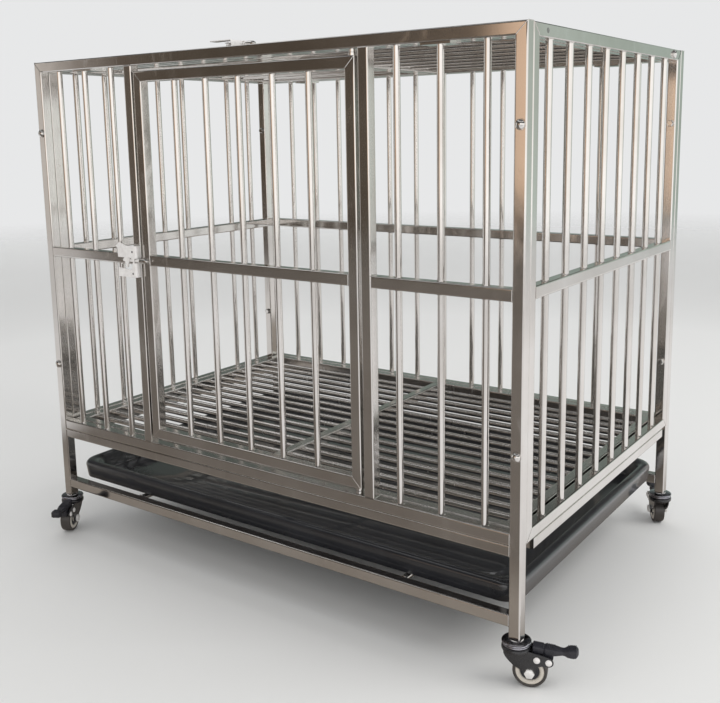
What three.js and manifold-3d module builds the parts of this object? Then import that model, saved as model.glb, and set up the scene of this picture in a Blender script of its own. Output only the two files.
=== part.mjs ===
// A stainless steel kennel cage on four braked casters: welded tube panels bolted at the corners, a hinged front
// door, a hinged roof door, two slide bolts, a lift-in floor grate and a plastic tray that slides out sideways.
// Millimetres, +Z up, +X along the long side, the front faces -Y, the origin is on the floor under the middle.
import * as THREE from "three";
import { mergeVertices } from "three/addons/utils/BufferGeometryUtils.js";
import Module from "manifold-3d";

const wasm = await Module();
wasm.setup();

// Driving dimensions.
const TUBE = 22; // square frame tube
const BAR = 13; // round bar
const HALF_WIDTH = 608; // outer face of the end panels
const HALF_DEPTH = 401; // outer face of the front and back panels
const TOP = 1109;
const POST_BOTTOM = 82.5; // the caster's height
const GAP = 0.3; // between pieces that touch
const WELD = 1; // how far welded pieces run into each other

const POST_X = HALF_WIDTH - TUBE / 2;
const WALL_Y = HALF_DEPTH - TUBE / 2;
const SIDE_POST_Y = HALF_DEPTH - TUBE * 1.5 - GAP;
const TOP_RAIL_Z = TOP - TUBE / 2;
const MID_RAIL_Z = 681;
const SILL_Z = 263;
const SILL_TOP = SILL_Z + TUBE / 2;
const LEDGE = { bottom: 232, top: 252, width: 38 };
const BASE_RAIL = { bottom: 104, top: 126 };
const BAR_SIDES = 6;

// Front door.
const DOOR_POST_X = 299;
const DOOR = { stileX: 271, bottom: 286, top: 1075, gap: 12 };
const DOOR_BAR_PITCH = 86;
const SIDE_SECTION_BARS = [362, 448, 534];

// End panels, roof and roof door.
const END_BARS = { first: 297.5, pitch: 85, count: 8 };
const ROOF = { halfX: 583, halfY: 376.5, bottom: TOP - TUBE + GAP };
const ROOF_DOOR_GAP = 6;
const REST_TAB = { x: 443, width: 57, depth: 36, thickness: 4 };

// Floor grate and tray.
const GRATE = { halfX: 580.5, halfY: 376.5, bottom: LEDGE.top + GAP, rod: 12.7, pitch: 42.05, count: 16 };
const GRATE_SIDES = 12;
const TRAY = { halfX: 585, halfY: 370, bottom: BASE_RAIL.top + GAP, top: 166, sheet: 3 };
const TRAY_CORNER = { skirt: 35, pan: 46 };
const SUPPORT_X = 359;

// Fasteners and pins.
const BOLT = { shank: 8, head: 16.6, dome: 6, nut: 15, nutLength: 6 };
const CORNER_BOLT_Z = [411, 952];
const ROOF_BOLT_Y = 327;
const PIN = { diameter: 8, collar: 16, reach: 20, running: 0.1 };
const ROUND_SIDES = 16;
const TREAD_SIDES = 24;
const RIVET_SIDES = 8;

// Slide bolt latch, in its own frame: x along the bolt, -y away from the panel, the origin on the tube's edge.
const LATCH = {
  standoff: 12,
  plate: 2,
  left: -57,
  boltY: -7,
  boltStart: -45,
  boltEnd: 4,
  keeperStart: 6.5,
  keeperEnd: 29,
  bore: 8.8,
  keeperBore: 10,
  keeperWall: 1.2,
};

// Casters, each in its own frame: the swivel axis on z, the wheel trails towards +x.
const CASTER = { trail: 24, wheelRadius: 30, treadHalf: 12, legInner: 14, legOuter: 17 };
const CROWN = { bottom: 62, top: 72.7, radius: 26 };
const STEM = { pin: 10, reach: 24, hole: 26, flange: 8, neck: 4.5 };
const HUB = { radius: 10.5, nut: 8.75, nutLength: 5.5 };
const RIVET = { x: 36, z: 55, diameter: 12, height: 2 };
const PEDAL_PIN = { x: 56, z: 53, diameter: 6 };
const CASTERS = [
  { name: "fl", x: -POST_X, y: -WALL_Y, turn: -60 },
  { name: "fr", x: POST_X, y: -WALL_Y, turn: 20 },
  { name: "bl", x: -POST_X, y: WALL_Y, turn: 200 },
  { name: "br", x: POST_X, y: WALL_Y, turn: 120 },
];

const steel = new THREE.MeshStandardMaterial({ color: 0xb8b0a8, roughness: 0.16, metalness: 1 });
const zinc = new THREE.MeshStandardMaterial({ color: 0xd9d7d2, roughness: 0.24, metalness: 1 });
const blackPlastic = new THREE.MeshStandardMaterial({ color: 0x17181b, roughness: 0.45, metalness: 0 });
const blackSteel = new THREE.MeshStandardMaterial({ color: 0x0e0e10, roughness: 0.35, metalness: 0.2 });
const rubber = new THREE.MeshStandardMaterial({ color: 0x1c1b1b, roughness: 0.7, metalness: 0 });
const cream = new THREE.MeshStandardMaterial({ color: 0xe4dccd, roughness: 0.5, metalness: 0 });

// Solids: three.js geometry in, manifold solids for joining and cutting, three.js geometry out.
function solidOf(geometry) {
  const bare = geometry.clone();
  bare.deleteAttribute("normal");
  bare.deleteAttribute("uv");
  const merged = mergeVertices(bare, 1e-4);
  const triVerts = new Uint32Array(merged.index.array);
  const vertProperties = merged.attributes.position.array;
  return new wasm.Manifold(new wasm.Mesh({ numProp: 3, vertProperties, triVerts }));
}

function geometryOf(solid) {
  const mesh = solid.getMesh();
  const geometry = new THREE.BufferGeometry();
  geometry.setAttribute("position", new THREE.BufferAttribute(mesh.vertProperties, 3));
  geometry.setIndex(new THREE.BufferAttribute(mesh.triVerts, 1));
  const faceted = geometry.toNonIndexed();
  faceted.computeVertexNormals();
  return faceted;
}

const join = (solids) => solids.reduce((whole, solid) => whole.add(solid));
const cut = (solid, tools) => tools.reduce((whole, tool) => whole.subtract(tool), solid);

function piece(name, solid, material) {
  const mesh = new THREE.Mesh(geometryOf(solid), material);
  mesh.name = name;
  return mesh;
}

function block([x0, x1], [y0, y1], [z0, z1]) {
  const box = new THREE.BoxGeometry(x1 - x0, y1 - y0, z1 - z0);
  box.translate((x0 + x1) / 2, (y0 + y1) / 2, (z0 + z1) / 2);
  return solidOf(box);
}

// Square tubes, each by its centre line.
const half = TUBE / 2;
const tubeX = (x0, x1, y, z) => block([x0, x1], [y - half, y + half], [z - half, z + half]);
const tubeY = (y0, y1, x, z) => block([x - half, x + half], [y0, y1], [z - half, z + half]);
const tubeZ = (z0, z1, x, y) => block([x - half, x + half], [y - half, y + half], [z0, z1]);

// A profile of [radius, height] points turned round the z axis.
function turned(profile, sides = ROUND_SIDES) {
  const points = profile.map(([radius, height]) => new THREE.Vector2(radius, height));
  return new THREE.LatheGeometry(points, sides).rotateX(Math.PI / 2);
}

// A round rod along an axis, from one end to the other.
function rod(axis, diameter, from, to, [a, b], sides = BAR_SIDES) {
  const cylinder = new THREE.CylinderGeometry(diameter / 2, diameter / 2, to - from, sides);
  const middle = (from + to) / 2;
  if (axis === "x") {
    cylinder.rotateZ(Math.PI / 2).translate(middle, a, b);
  } else if (axis === "y") {
    cylinder.translate(a, middle, b);
  } else {
    cylinder.rotateX(Math.PI / 2).translate(a, b, middle);
  }
  return solidOf(cylinder);
}

// A flat plate in the xz plane, from its outline, between two depths.
function plateXZ(shape, y0, y1) {
  const plate = new THREE.ExtrudeGeometry(shape, { depth: y1 - y0, bevelEnabled: false, curveSegments: 3 });
  return solidOf(plate.rotateX(Math.PI / 2).translate(0, y1, 0));
}

function outline(points) {
  return new THREE.Shape(points.map(([x, y]) => new THREE.Vector2(x, y)));
}

// Front and back panels share their outer frame.
function longPanelFrame(side) {
  const y = side * WALL_Y;
  const ledgeInner = side * (HALF_DEPTH - LEDGE.width);
  const wallInner = side * (HALF_DEPTH - TUBE);
  const span = (a, b) => [Math.min(a, b), Math.max(a, b)];
  const parts = [
    tubeZ(POST_BOTTOM, TOP, -POST_X, y),
    tubeZ(POST_BOTTOM, TOP, POST_X, y),
    tubeX(-POST_X, POST_X, y, TOP_RAIL_Z),
    block([-POST_X, POST_X], span(side * HALF_DEPTH, wallInner), [LEDGE.bottom, SILL_TOP]),
    block([-ROOF.halfX, ROOF.halfX], span(wallInner + side * WELD, ledgeInner), [LEDGE.bottom, LEDGE.top]),
    block([-POST_X, POST_X], span(side * HALF_DEPTH, wallInner), [BASE_RAIL.bottom, BASE_RAIL.top]),
  ];
  for (const x of [-REST_TAB.x, REST_TAB.x]) {
    const width = [x - REST_TAB.width / 2, x + REST_TAB.width / 2];
    const under = TOP - TUBE;
    const inner = side * (HALF_DEPTH - REST_TAB.depth);
    parts.push(block(width, span(side * HALF_DEPTH, inner), [under - REST_TAB.thickness, under]));
    parts.push(block(width, span(side * HALF_DEPTH, wallInner), [under - WELD, under + WELD]));
  }
  return parts;
}

// Holes for the corner bolts and the caster stems, in both posts of a long panel.
function postHoles(side) {
  const holes = [];
  for (const x of [-POST_X, POST_X]) {
    for (const z of CORNER_BOLT_Z) {
      holes.push(boltHole("y", side * (WALL_Y - TUBE), side * (HALF_DEPTH + WELD), [x, z]));
    }
    const wide = STEM.pin + 2 * GAP;
    const deep = POST_BOTTOM + STEM.hole;
    holes.push(rod("z", wide, POST_BOTTOM - WELD, deep, [x, side * WALL_Y], ROUND_SIDES));
  }
  return holes;
}

function boltHole(axis, a, b, at) {
  return rod(axis, BOLT.shank + 2 * GAP, Math.min(a, b), Math.max(a, b), at, 12);
}

function pinSocket(axis, from, to, at, clearance) {
  return rod(axis, PIN.diameter + 2 * clearance, from, to, at, ROUND_SIDES);
}

function frontPanel() {
  const parts = longPanelFrame(-1);
  for (const side of [-1, 1]) {
    parts.push(tubeZ(SILL_Z, TOP_RAIL_Z, side * DOOR_POST_X, -WALL_Y));
    const ends = [side * DOOR_POST_X, side * POST_X].sort((a, b) => a - b);
    parts.push(tubeX(ends[0], ends[1], -WALL_Y, MID_RAIL_Z));
    for (const x of SIDE_SECTION_BARS) {
      parts.push(rod("z", BAR, SILL_Z, TOP_RAIL_Z, [side * x, -WALL_Y]));
    }
  }
  const pinAt = [DOOR.stileX, -WALL_Y];
  const holes = postHoles(-1);
  holes.push(pinSocket("z", SILL_TOP - PIN.reach + GAP, SILL_TOP + WELD, pinAt, GAP));
  holes.push(pinSocket("z", TOP - TUBE - WELD, TOP - TUBE + PIN.reach - GAP, pinAt, GAP));
  return cut(join(parts), holes);
}

function backPanel() {
  const parts = longPanelFrame(1);
  parts.push(tubeX(-POST_X, POST_X, WALL_Y, MID_RAIL_Z));
  const bars = 13;
  for (let i = 0; i < bars; i++) {
    const x = (i - (bars - 1) / 2) * END_BARS.pitch;
    parts.push(rod("z", BAR, SILL_Z, TOP_RAIL_Z, [x, WALL_Y]));
  }
  return cut(join(parts), postHoles(1));
}

function endPanel(side) {
  const x = side * POST_X;
  const reach = SIDE_POST_Y + half;
  const ledge = [side * HALF_WIDTH, side * (HALF_WIDTH - LEDGE.width)].sort((a, b) => a - b);
  const outer = [x - half, x + half];
  const ledgeEnd = reach - TUBE - 5.7;
  const parts = [
    tubeZ(LEDGE.top, TOP, x, -SIDE_POST_Y),
    tubeZ(LEDGE.top, TOP, x, SIDE_POST_Y),
    tubeY(-reach, reach, x, TOP_RAIL_Z),
    tubeY(-reach, reach, x, MID_RAIL_Z),
    tubeY(-reach, reach, x, SILL_Z),
    block(ledge, [-ledgeEnd, ledgeEnd], [LEDGE.bottom, LEDGE.top]),
    block(outer, [-ledgeEnd, ledgeEnd], [LEDGE.top - WELD, LEDGE.top + WELD]),
  ];
  for (let i = 0; i < END_BARS.count; i++) {
    parts.push(rod("z", BAR, SILL_Z, TOP_RAIL_Z, [x, i * END_BARS.pitch - END_BARS.first]));
  }
  const holes = [];
  for (const y of [-SIDE_POST_Y, SIDE_POST_Y]) {
    for (const z of CORNER_BOLT_Z) {
      holes.push(boltHole("y", y - TUBE, y + TUBE, [x, z]));
    }
  }
  for (const y of [-ROOF_BOLT_Y, ROOF_BOLT_Y]) {
    holes.push(boltHole("x", x - TUBE, x + TUBE, [y, TOP_RAIL_Z]));
  }
  return cut(join(parts), holes);
}

// Roof: a frame with a cross member in the middle, bars over the right half and a hinged leaf over the left half.
const roofZ = ROOF.bottom + half - GAP / 2;
const leafLeft = -ROOF.halfX + TUBE + ROOF_DOOR_GAP;
const leafRight = -half - ROOF_DOOR_GAP;
const leafY = ROOF.halfY - TUBE - ROOF_DOOR_GAP;
const roofHingeY = leafY - half;

function roofBars(x0, x1) {
  const bars = [];
  for (let i = 0; i < END_BARS.count; i++) {
    bars.push(rod("x", BAR, x0, x1, [i * END_BARS.pitch - END_BARS.first, roofZ]));
  }
  return bars;
}

function roofTube(x0, x1, y0, y1) {
  return block([x0, x1], [y0, y1], [ROOF.bottom, TOP]);
}

function ringOfTubes(x0, x1, y0, y1) {
  return [
    roofTube(x0, x1, y0, y0 + TUBE),
    roofTube(x0, x1, y1 - TUBE, y1),
    roofTube(x0, x0 + TUBE, y0, y1),
    roofTube(x1 - TUBE, x1, y0, y1),
  ];
}

function roofPanel() {
  const { halfX, halfY } = ROOF;
  const parts = ringOfTubes(-halfX, halfX, -halfY, halfY);
  parts.push(roofTube(-half, half, -halfY, halfY), ...roofBars(0, halfX - half));
  const holes = [];
  for (const side of [-1, 1]) {
    for (const y of [-ROOF_BOLT_Y, ROOF_BOLT_Y]) {
      const centre = side * (halfX - half);
      holes.push(boltHole("x", centre - TUBE, centre + TUBE, [y, TOP_RAIL_Z]));
    }
  }
  const inner = -halfX + TUBE;
  const pinAt = [roofHingeY, roofZ];
  holes.push(pinSocket("x", inner - PIN.reach + GAP, inner + WELD, pinAt, GAP));
  holes.push(pinSocket("x", -half - WELD, -half + PIN.reach - GAP, pinAt, GAP));
  return cut(join(parts), holes);
}

function roofDoor() {
  const parts = ringOfTubes(leafLeft, leafRight, -leafY, leafY);
  parts.push(...roofBars(leafLeft + half, leafRight - half));
  const pinAt = [roofHingeY, roofZ];
  const holes = [
    pinSocket("x", leafLeft - WELD, leafLeft + PIN.reach + WELD, pinAt, PIN.running),
    pinSocket("x", leafRight - PIN.reach - WELD, leafRight + WELD, pinAt, PIN.running),
  ];
  return cut(join(parts), holes);
}

function frontDoor() {
  const parts = [-DOOR.stileX, DOOR.stileX].map((x) => tubeZ(DOOR.bottom, DOOR.top, x, -WALL_Y));
  for (const z of [DOOR.bottom + half, MID_RAIL_Z, DOOR.top - half]) {
    parts.push(tubeX(-DOOR.stileX, DOOR.stileX, -WALL_Y, z));
  }
  for (let i = -2; i <= 2; i++) {
    parts.push(rod("z", BAR, DOOR.bottom + half, DOOR.top - half, [i * DOOR_BAR_PITCH, -WALL_Y]));
  }
  const pinAt = [DOOR.stileX, -WALL_Y];
  const holes = [
    pinSocket("z", DOOR.bottom - WELD, DOOR.bottom + PIN.reach + WELD, pinAt, PIN.running),
    pinSocket("z", DOOR.top - PIN.reach - WELD, DOOR.top + WELD, pinAt, PIN.running),
  ];
  return cut(join(parts), holes);
}

// A hinge pin about its own z axis, its collar filling the gap between leaf and frame.
function hingePin(name, gap) {
  const collar = gap / 2 - GAP;
  const end = gap / 2 + PIN.reach - WELD;
  const r = PIN.diameter / 2;
  const profile = [
    [0, -end],
    [r, -end],
    [r, -collar],
    [PIN.collar / 2, -collar],
    [PIN.collar / 2, collar],
    [r, collar],
    [r, end],
    [0, end],
  ];
  return piece(name, solidOf(turned(profile)), zinc);
}

function hingePins() {
  const lower = hingePin("hinge_pin_lower", DOOR.gap);
  lower.position.set(DOOR.stileX, -WALL_Y, DOOR.bottom - DOOR.gap / 2);
  const upper = hingePin("hinge_pin_upper", DOOR.gap);
  upper.position.set(DOOR.stileX, -WALL_Y, DOOR.top + DOOR.gap / 2);
  const left = hingePin("roof_hinge_pin_left", ROOF_DOOR_GAP);
  left.position.set(leafLeft - ROOF_DOOR_GAP / 2, roofHingeY, roofZ);
  const right = hingePin("roof_hinge_pin_right", ROOF_DOOR_GAP);
  right.position.set(leafRight + ROOF_DOOR_GAP / 2, roofHingeY, roofZ);
  left.rotation.y = Math.PI / 2;
  right.rotation.y = Math.PI / 2;
  return [lower, upper, left, right];
}

function floorGrate() {
  const { halfX, halfY, bottom } = GRATE;
  const tube = (x0, x1, y0, y1) => block([x0, x1], [y0, y1], [bottom, bottom + TUBE]);
  const parts = [
    tube(-halfX, halfX, -halfY, -halfY + TUBE),
    tube(-halfX, halfX, halfY - TUBE, halfY),
    tube(-halfX, -halfX + TUBE, -halfY, halfY),
    tube(halfX - TUBE, halfX, -halfY, halfY),
    tube(-half, half, -halfY, halfY),
  ];
  for (let i = 0; i < GRATE.count; i++) {
    const y = (i - (GRATE.count - 1) / 2) * GRATE.pitch;
    parts.push(rod("x", GRATE.rod, -halfX + half, halfX - half, [y, bottom + half], GRATE_SIDES));
  }
  return join(parts);
}

// Rings of a rounded rectangle, skinned one to the next and closed at both ends.
function roundedRing(halfX, halfY, radius, z, steps = 5) {
  const ring = [];
  const corners = [
    [1, 1, 0],
    [-1, 1, 90],
    [-1, -1, 180],
    [1, -1, 270],
  ];
  for (const [sx, sy, start] of corners) {
    for (let i = 0; i <= steps; i++) {
      const angle = THREE.MathUtils.degToRad(start + (90 * i) / steps);
      const x = sx * (halfX - radius) + radius * Math.cos(angle);
      const y = sy * (halfY - radius) + radius * Math.sin(angle);
      ring.push([x, y, z]);
    }
  }
  return ring;
}

function skinned(rings) {
  const count = rings[0].length;
  const index = [];
  for (let r = 0; r + 1 < rings.length; r++) {
    for (let i = 0; i < count; i++) {
      const a = r * count + i;
      const b = r * count + ((i + 1) % count);
      index.push(a, b, b + count, a, b + count, a + count);
    }
  }
  const last = (rings.length - 1) * count;
  for (let i = 1; i + 1 < count; i++) {
    index.push(0, i + 1, i, last, last + i, last + i + 1);
  }
  const geometry = new THREE.BufferGeometry();
  geometry.setAttribute("position", new THREE.Float32BufferAttribute(rings.flat(2), 3));
  geometry.setIndex(index);
  return geometry;
}

// A formed pan whose rim turns over into a skirt. Each row: inset from the skirt, height and corner radius.
function tray() {
  const { halfX, halfY, bottom, top, sheet } = TRAY;
  const { skirt, pan } = TRAY_CORNER;
  const rows = [
    [27, bottom, pan],
    [17, top - 8, pan],
    [13.5, top - sheet - 0.5, pan - 6],
    [9, top - sheet - 0.5, skirt],
    [sheet, top - 12, skirt],
    [6, bottom, skirt],
    [3, bottom, skirt],
    [0, top - 10, skirt],
    [2.5, top - 3.5, skirt],
    [8, top, skirt],
    [15, top, pan - 6],
    [20, top - 5, pan],
    [30, bottom + sheet + 2, pan],
    [35, bottom + sheet, pan],
  ];
  const ring = ([inset, z, radius]) => roundedRing(halfX - inset, halfY - inset, radius, z);
  return solidOf(skinned(rows.map(ring)));
}

function traySupport(side) {
  const end = HALF_DEPTH - TUBE - GAP;
  return rod("y", BAR, -end, end, [side * SUPPORT_X, BASE_RAIL.top - BAR / 2], 12);
}

// A domed screw along z, its head at the top and its shank ending at a height below zero.
function domedScrew(end) {
  const r = BOLT.shank / 2;
  const head = BOLT.head / 2;
  const profile = [
    [0, end],
    [r, end],
    [r, GAP],
    [head, GAP],
    [head * 0.9, GAP + BOLT.dome * 0.6],
    [0, GAP + BOLT.dome],
  ];
  return solidOf(turned(profile, 12));
}

// Each corner bolt clamps a long panel's post to an end panel's post, with its nut inside the cage.
function cornerBolt(name) {
  const nutTop = -2 * TUBE - 2 * GAP;
  const nut = new THREE.CylinderGeometry(BOLT.nut / 2, BOLT.nut / 2, BOLT.nutLength, 6).rotateX(Math.PI / 2);
  nut.translate(0, 0, nutTop - BOLT.nutLength / 2);
  return piece(name, join([domedScrew(nutTop - BOLT.nutLength), solidOf(nut)]), zinc);
}

function cornerBolts() {
  const bolts = [];
  for (const [level, z] of [["lower", CORNER_BOLT_Z[0]], ["upper", CORNER_BOLT_Z[1]]]) {
    for (const { name, x, y } of CASTERS) {
      const one = cornerBolt("corner_bolt_" + level + "_" + name);
      one.position.set(x, Math.sign(y) * HALF_DEPTH, z);
      one.rotation.x = Math.sign(-y) * (Math.PI / 2);
      bolts.push(one);
    }
  }
  return bolts;
}

// The roof bolts screw into the roof frame's tube. The fourth, at the front right, is missing: its hole is empty.
function roofBolts() {
  const end = ROOF.halfX - HALF_WIDTH - TUBE + 2;
  const places = [
    ["front_left", -1, -1],
    ["back_left", -1, 1],
    ["back_right", 1, 1],
  ];
  return places.map(([name, sideX, sideY]) => {
    const one = piece("roof_bolt_" + name, domedScrew(end), zinc);
    one.position.set(sideX * HALF_WIDTH, sideY * ROOF_BOLT_Y, TOP_RAIL_Z);
    one.rotation.y = sideX * (Math.PI / 2);
    return one;
  });
}

// The latch's stamped bracket: a C of two straps with a turned-up ear, on a foot along the tube's edge.
function latchBracket(name) {
  const { left, standoff, plate, boltY } = LATCH;
  const shape = outline([
    [0, -36],
    [0, 32],
    [-34, 32],
    [-46, 38],
    [-60, 38],
    [-63, 28],
    [left, 25],
    [left, 6],
    [-14, 6],
    [-10, -2],
    [-12, -20],
    [left, -17],
    [left, -36],
  ].reverse());
  const face = plateXZ(shape, -standoff - plate, -standoff);
  const foot = block([-plate, 0], [-standoff - plate, -GAP], [-36, 32]);
  const holes = [rod("x", LATCH.bore, -WELD - plate, WELD, [boltY, 0], ROUND_SIDES)];
  for (const z of [19, -28]) {
    holes.push(rod("y", 5, -standoff - plate - WELD, -standoff + WELD, [-11, z], 16));
  }
  return piece(name, cut(join([face, foot]), holes), zinc);
}

function latchBolt(name) {
  const { boltStart, boltEnd, boltY, standoff } = LATCH;
  const shank = solidOf(turned([[0, boltStart], [4, boltStart], [4, boltEnd - 3], [2.5, boltEnd], [0, boltEnd]])
    .rotateY(Math.PI / 2).translate(0, boltY, 0));
  const lever = outline([[-43, 14], [-34, -15], [-28, -15], [-17, 14]]);
  return piece(name, join([shank, plateXZ(lever, -standoff + GAP, -standoff + GAP + 2)]), zinc);
}

function latchKeeper(name) {
  const { keeperStart, keeperEnd, keeperBore, keeperWall, boltY } = LATCH;
  const r = keeperBore / 2;
  const profile = [
    [0, keeperEnd - 10],
    [r, keeperEnd - 10],
    [r, keeperStart],
    [r + keeperWall, keeperStart],
    [r + keeperWall, keeperEnd - 8],
    [2.5, keeperEnd],
    [0, keeperEnd],
  ];
  const sleeve = solidOf(turned(profile).rotateY(Math.PI / 2).translate(0, boltY, 0));
  const foot = block([keeperStart + 2, keeperStart + 18], [boltY + r + 0.5, -GAP], [-6, 6]);
  return piece(name, join([sleeve, foot]), zinc);
}

function latch(prefix) {
  const group = new THREE.Group();
  group.add(latchBracket(prefix + "_latch_bracket"));
  group.add(latchBolt(prefix + "_latch_bolt"));
  group.add(latchKeeper(prefix + "_latch_keeper"));
  return group;
}

function casterStem() {
  const profile = [
    [0, CROWN.bottom - 4.5],
    [STEM.flange, CROWN.bottom - 4.5],
    [STEM.flange, CROWN.bottom - GAP],
    [STEM.neck, CROWN.bottom - GAP],
    [STEM.neck, CROWN.top + GAP],
    [CROWN.radius - 2, CROWN.top + GAP],
    [CROWN.radius, CROWN.top + 2.5],
    [CROWN.radius, CROWN.top + 5],
    [CROWN.radius - 7, POST_BOTTOM - GAP],
    [STEM.pin / 2, POST_BOTTOM - GAP],
    [STEM.pin / 2, POST_BOTTOM + STEM.reach],
    [0, POST_BOTTOM + STEM.reach],
  ];
  return solidOf(turned(profile));
}

function forkLeg(y0, y1) {
  const { trail, wheelRadius } = CASTER;
  const shape = new THREE.Shape();
  shape.moveTo(-22, CROWN.top - 3);
  shape.lineTo(-18, 56);
  shape.lineTo(-4, 41);
  shape.lineTo(trail - HUB.radius, wheelRadius);
  shape.absarc(trail, wheelRadius, HUB.radius, Math.PI, Math.PI * 1.9, false);
  shape.lineTo(38, 46);
  shape.lineTo(PEDAL_PIN.x - 3, 45);
  shape.absarc(PEDAL_PIN.x, PEDAL_PIN.z, 8, -Math.PI / 2, Math.PI / 3, false);
  shape.lineTo(40, 66);
  shape.lineTo(18, CROWN.top - 3);
  return plateXZ(shape, y0, y1);
}

function casterFork() {
  const { trail, wheelRadius, legInner, legOuter } = CASTER;
  const crown = solidOf(turned([[0, CROWN.bottom], [CROWN.radius, CROWN.bottom], [CROWN.radius, CROWN.top - 2],
    [CROWN.radius - 2, CROWN.top], [0, CROWN.top]]));
  const rivet = ({ x, z }, ends) => rod("y", RIVET.diameter, ...ends, [x, z], RIVET_SIDES);
  const parts = [
    crown,
    forkLeg(-legOuter, -legInner),
    forkLeg(legInner, legOuter),
    rod("y", PEDAL_PIN.diameter, -legInner - WELD, legInner + WELD, [PEDAL_PIN.x, PEDAL_PIN.z], ROUND_SIDES),
  ];
  for (const side of [-1, 1]) {
    const ends = [side * (legOuter - WELD), side * (legOuter + RIVET.height)].sort((a, b) => a - b);
    parts.push(rivet(PEDAL_PIN, ends), rivet(RIVET, ends));
  }
  const holes = [
    rod("z", 2 * (STEM.neck + GAP), CROWN.bottom - WELD, CROWN.top + WELD, [0, 0], ROUND_SIDES),
    rod("y", 8 + 2 * GAP, -legOuter - WELD, legOuter + WELD, [trail, wheelRadius], ROUND_SIDES),
  ];
  return cut(join(parts), holes);
}

// Turned about y at the wheel's centre, with a facet level with the floor.
function onAxle(geometry, sides = ROUND_SIDES) {
  const { trail, wheelRadius } = CASTER;
  const facet = Math.PI / sides;
  return solidOf(geometry.rotateZ(facet).rotateX(Math.PI / 2).translate(trail, 0, wheelRadius));
}

function casterAxle() {
  const { legOuter } = CASTER;
  const seat = legOuter + GAP;
  const shank = onAxle(turned([[0, -seat - 1], [4, -seat - 1], [4, seat + 1], [0, seat + 1]]));
  const hexNut = () => new THREE.CylinderGeometry(HUB.nut, HUB.nut, HUB.nutLength, 6).rotateX(Math.PI / 2);
  const middle = seat + HUB.nutLength / 2;
  return join([shank, ...[-middle, middle].map((y) => onAxle(hexNut().translate(0, 0, y)))]);
}

// The corner radius of a polygon over the radius of the circle inside it.
const cornerScale = (sides) => 1 / Math.cos(Math.PI / sides);

function wheelCore() {
  const bore = (4 + PIN.running) * cornerScale(ROUND_SIDES);
  const rim = 25 - GAP;
  const profile = [
    [bore, -13],
    [8, -13],
    [10, -8],
    [21, -8],
    [rim, -11],
    [rim, 11],
    [21, 8],
    [10, 8],
    [8, 13],
    [bore, 13],
    [bore, -13],
  ];
  return onAxle(turned(profile));
}

function wheelTread() {
  const { treadHalf, wheelRadius } = CASTER;
  const inner = 25 * cornerScale(TREAD_SIDES);
  const outer = wheelRadius * cornerScale(TREAD_SIDES);
  const profile = [
    [inner, -treadHalf],
    [outer - 2, -treadHalf],
    [outer, -treadHalf + 2.5],
    [outer, treadHalf - 2.5],
    [outer - 2, treadHalf],
    [inner, treadHalf],
    [inner, -treadHalf],
  ];
  return onAxle(turned(profile, TREAD_SIDES), TREAD_SIDES);
}

function brakePedal() {
  const width = 10.6;
  const shape = outline([
    [27.5, 62],
    [48, 61],
    [50, 48],
    [56, 46],
    [62, 48],
    [66, 61.5],
    [78, 63],
    [90, 61],
    [99, 61],
    [104.5, 66],
    [105, 72],
    [99, 77.5],
    [90, 77.5],
    [79, 72.5],
    [66, 74],
    [46, 75.5],
    [28, 77],
  ]);
  const bore = (PEDAL_PIN.diameter + 2 * PIN.running) * cornerScale(ROUND_SIDES);
  const hole = rod("y", bore, -width - WELD, width + WELD, [PEDAL_PIN.x, PEDAL_PIN.z], ROUND_SIDES);
  return cut(plateXZ(shape, -width, width), [hole]);
}

function caster({ name, x, y, turn }) {
  const group = new THREE.Group();
  const prefix = "caster_" + name;
  group.add(piece(prefix + "_stem", casterStem(), zinc));
  group.add(piece(prefix + "_fork", casterFork(), blackSteel));
  group.add(piece(prefix + "_axle", casterAxle(), zinc));
  group.add(piece(prefix + "_wheel", wheelCore(), cream));
  group.add(piece(prefix + "_tread", wheelTread(), rubber));
  group.add(piece(prefix + "_pedal", brakePedal(), blackPlastic));
  group.position.set(x, y, 0);
  group.rotation.z = THREE.MathUtils.degToRad(turn);
  return group;
}

function latches() {
  const front = latch("front");
  front.position.set(-DOOR_POST_X + half, -HALF_DEPTH, MID_RAIL_Z - 1);
  const roof = latch("roof");
  roof.position.set(leafRight, -leafY, TOP);
  roof.rotation.x = -Math.PI / 2;
  return [front, roof];
}

const cage = new THREE.Group();
cage.name = "kennel_cage";
cage.add(piece("front_panel", frontPanel(), steel));
cage.add(piece("back_panel", backPanel(), steel));
cage.add(piece("left_side_panel", endPanel(-1), steel));
cage.add(piece("right_side_panel", endPanel(1), steel));
cage.add(piece("roof_panel", roofPanel(), steel));
cage.add(piece("roof_door", roofDoor(), steel));
cage.add(piece("front_door", frontDoor(), steel));
cage.add(piece("floor_grate", floorGrate(), steel));
cage.add(piece("tray", tray(), blackPlastic));
cage.add(piece("tray_support_left", traySupport(-1), steel));
cage.add(piece("tray_support_right", traySupport(1), steel));
cage.add(...hingePins(), ...latches(), ...cornerBolts(), ...roofBolts(), ...CASTERS.map(caster));

export default cage;
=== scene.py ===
from math import atan2, cos, pi, radians, sin

import bmesh
import bpy
import numpy as np
from mathutils import Matrix, Vector


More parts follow.
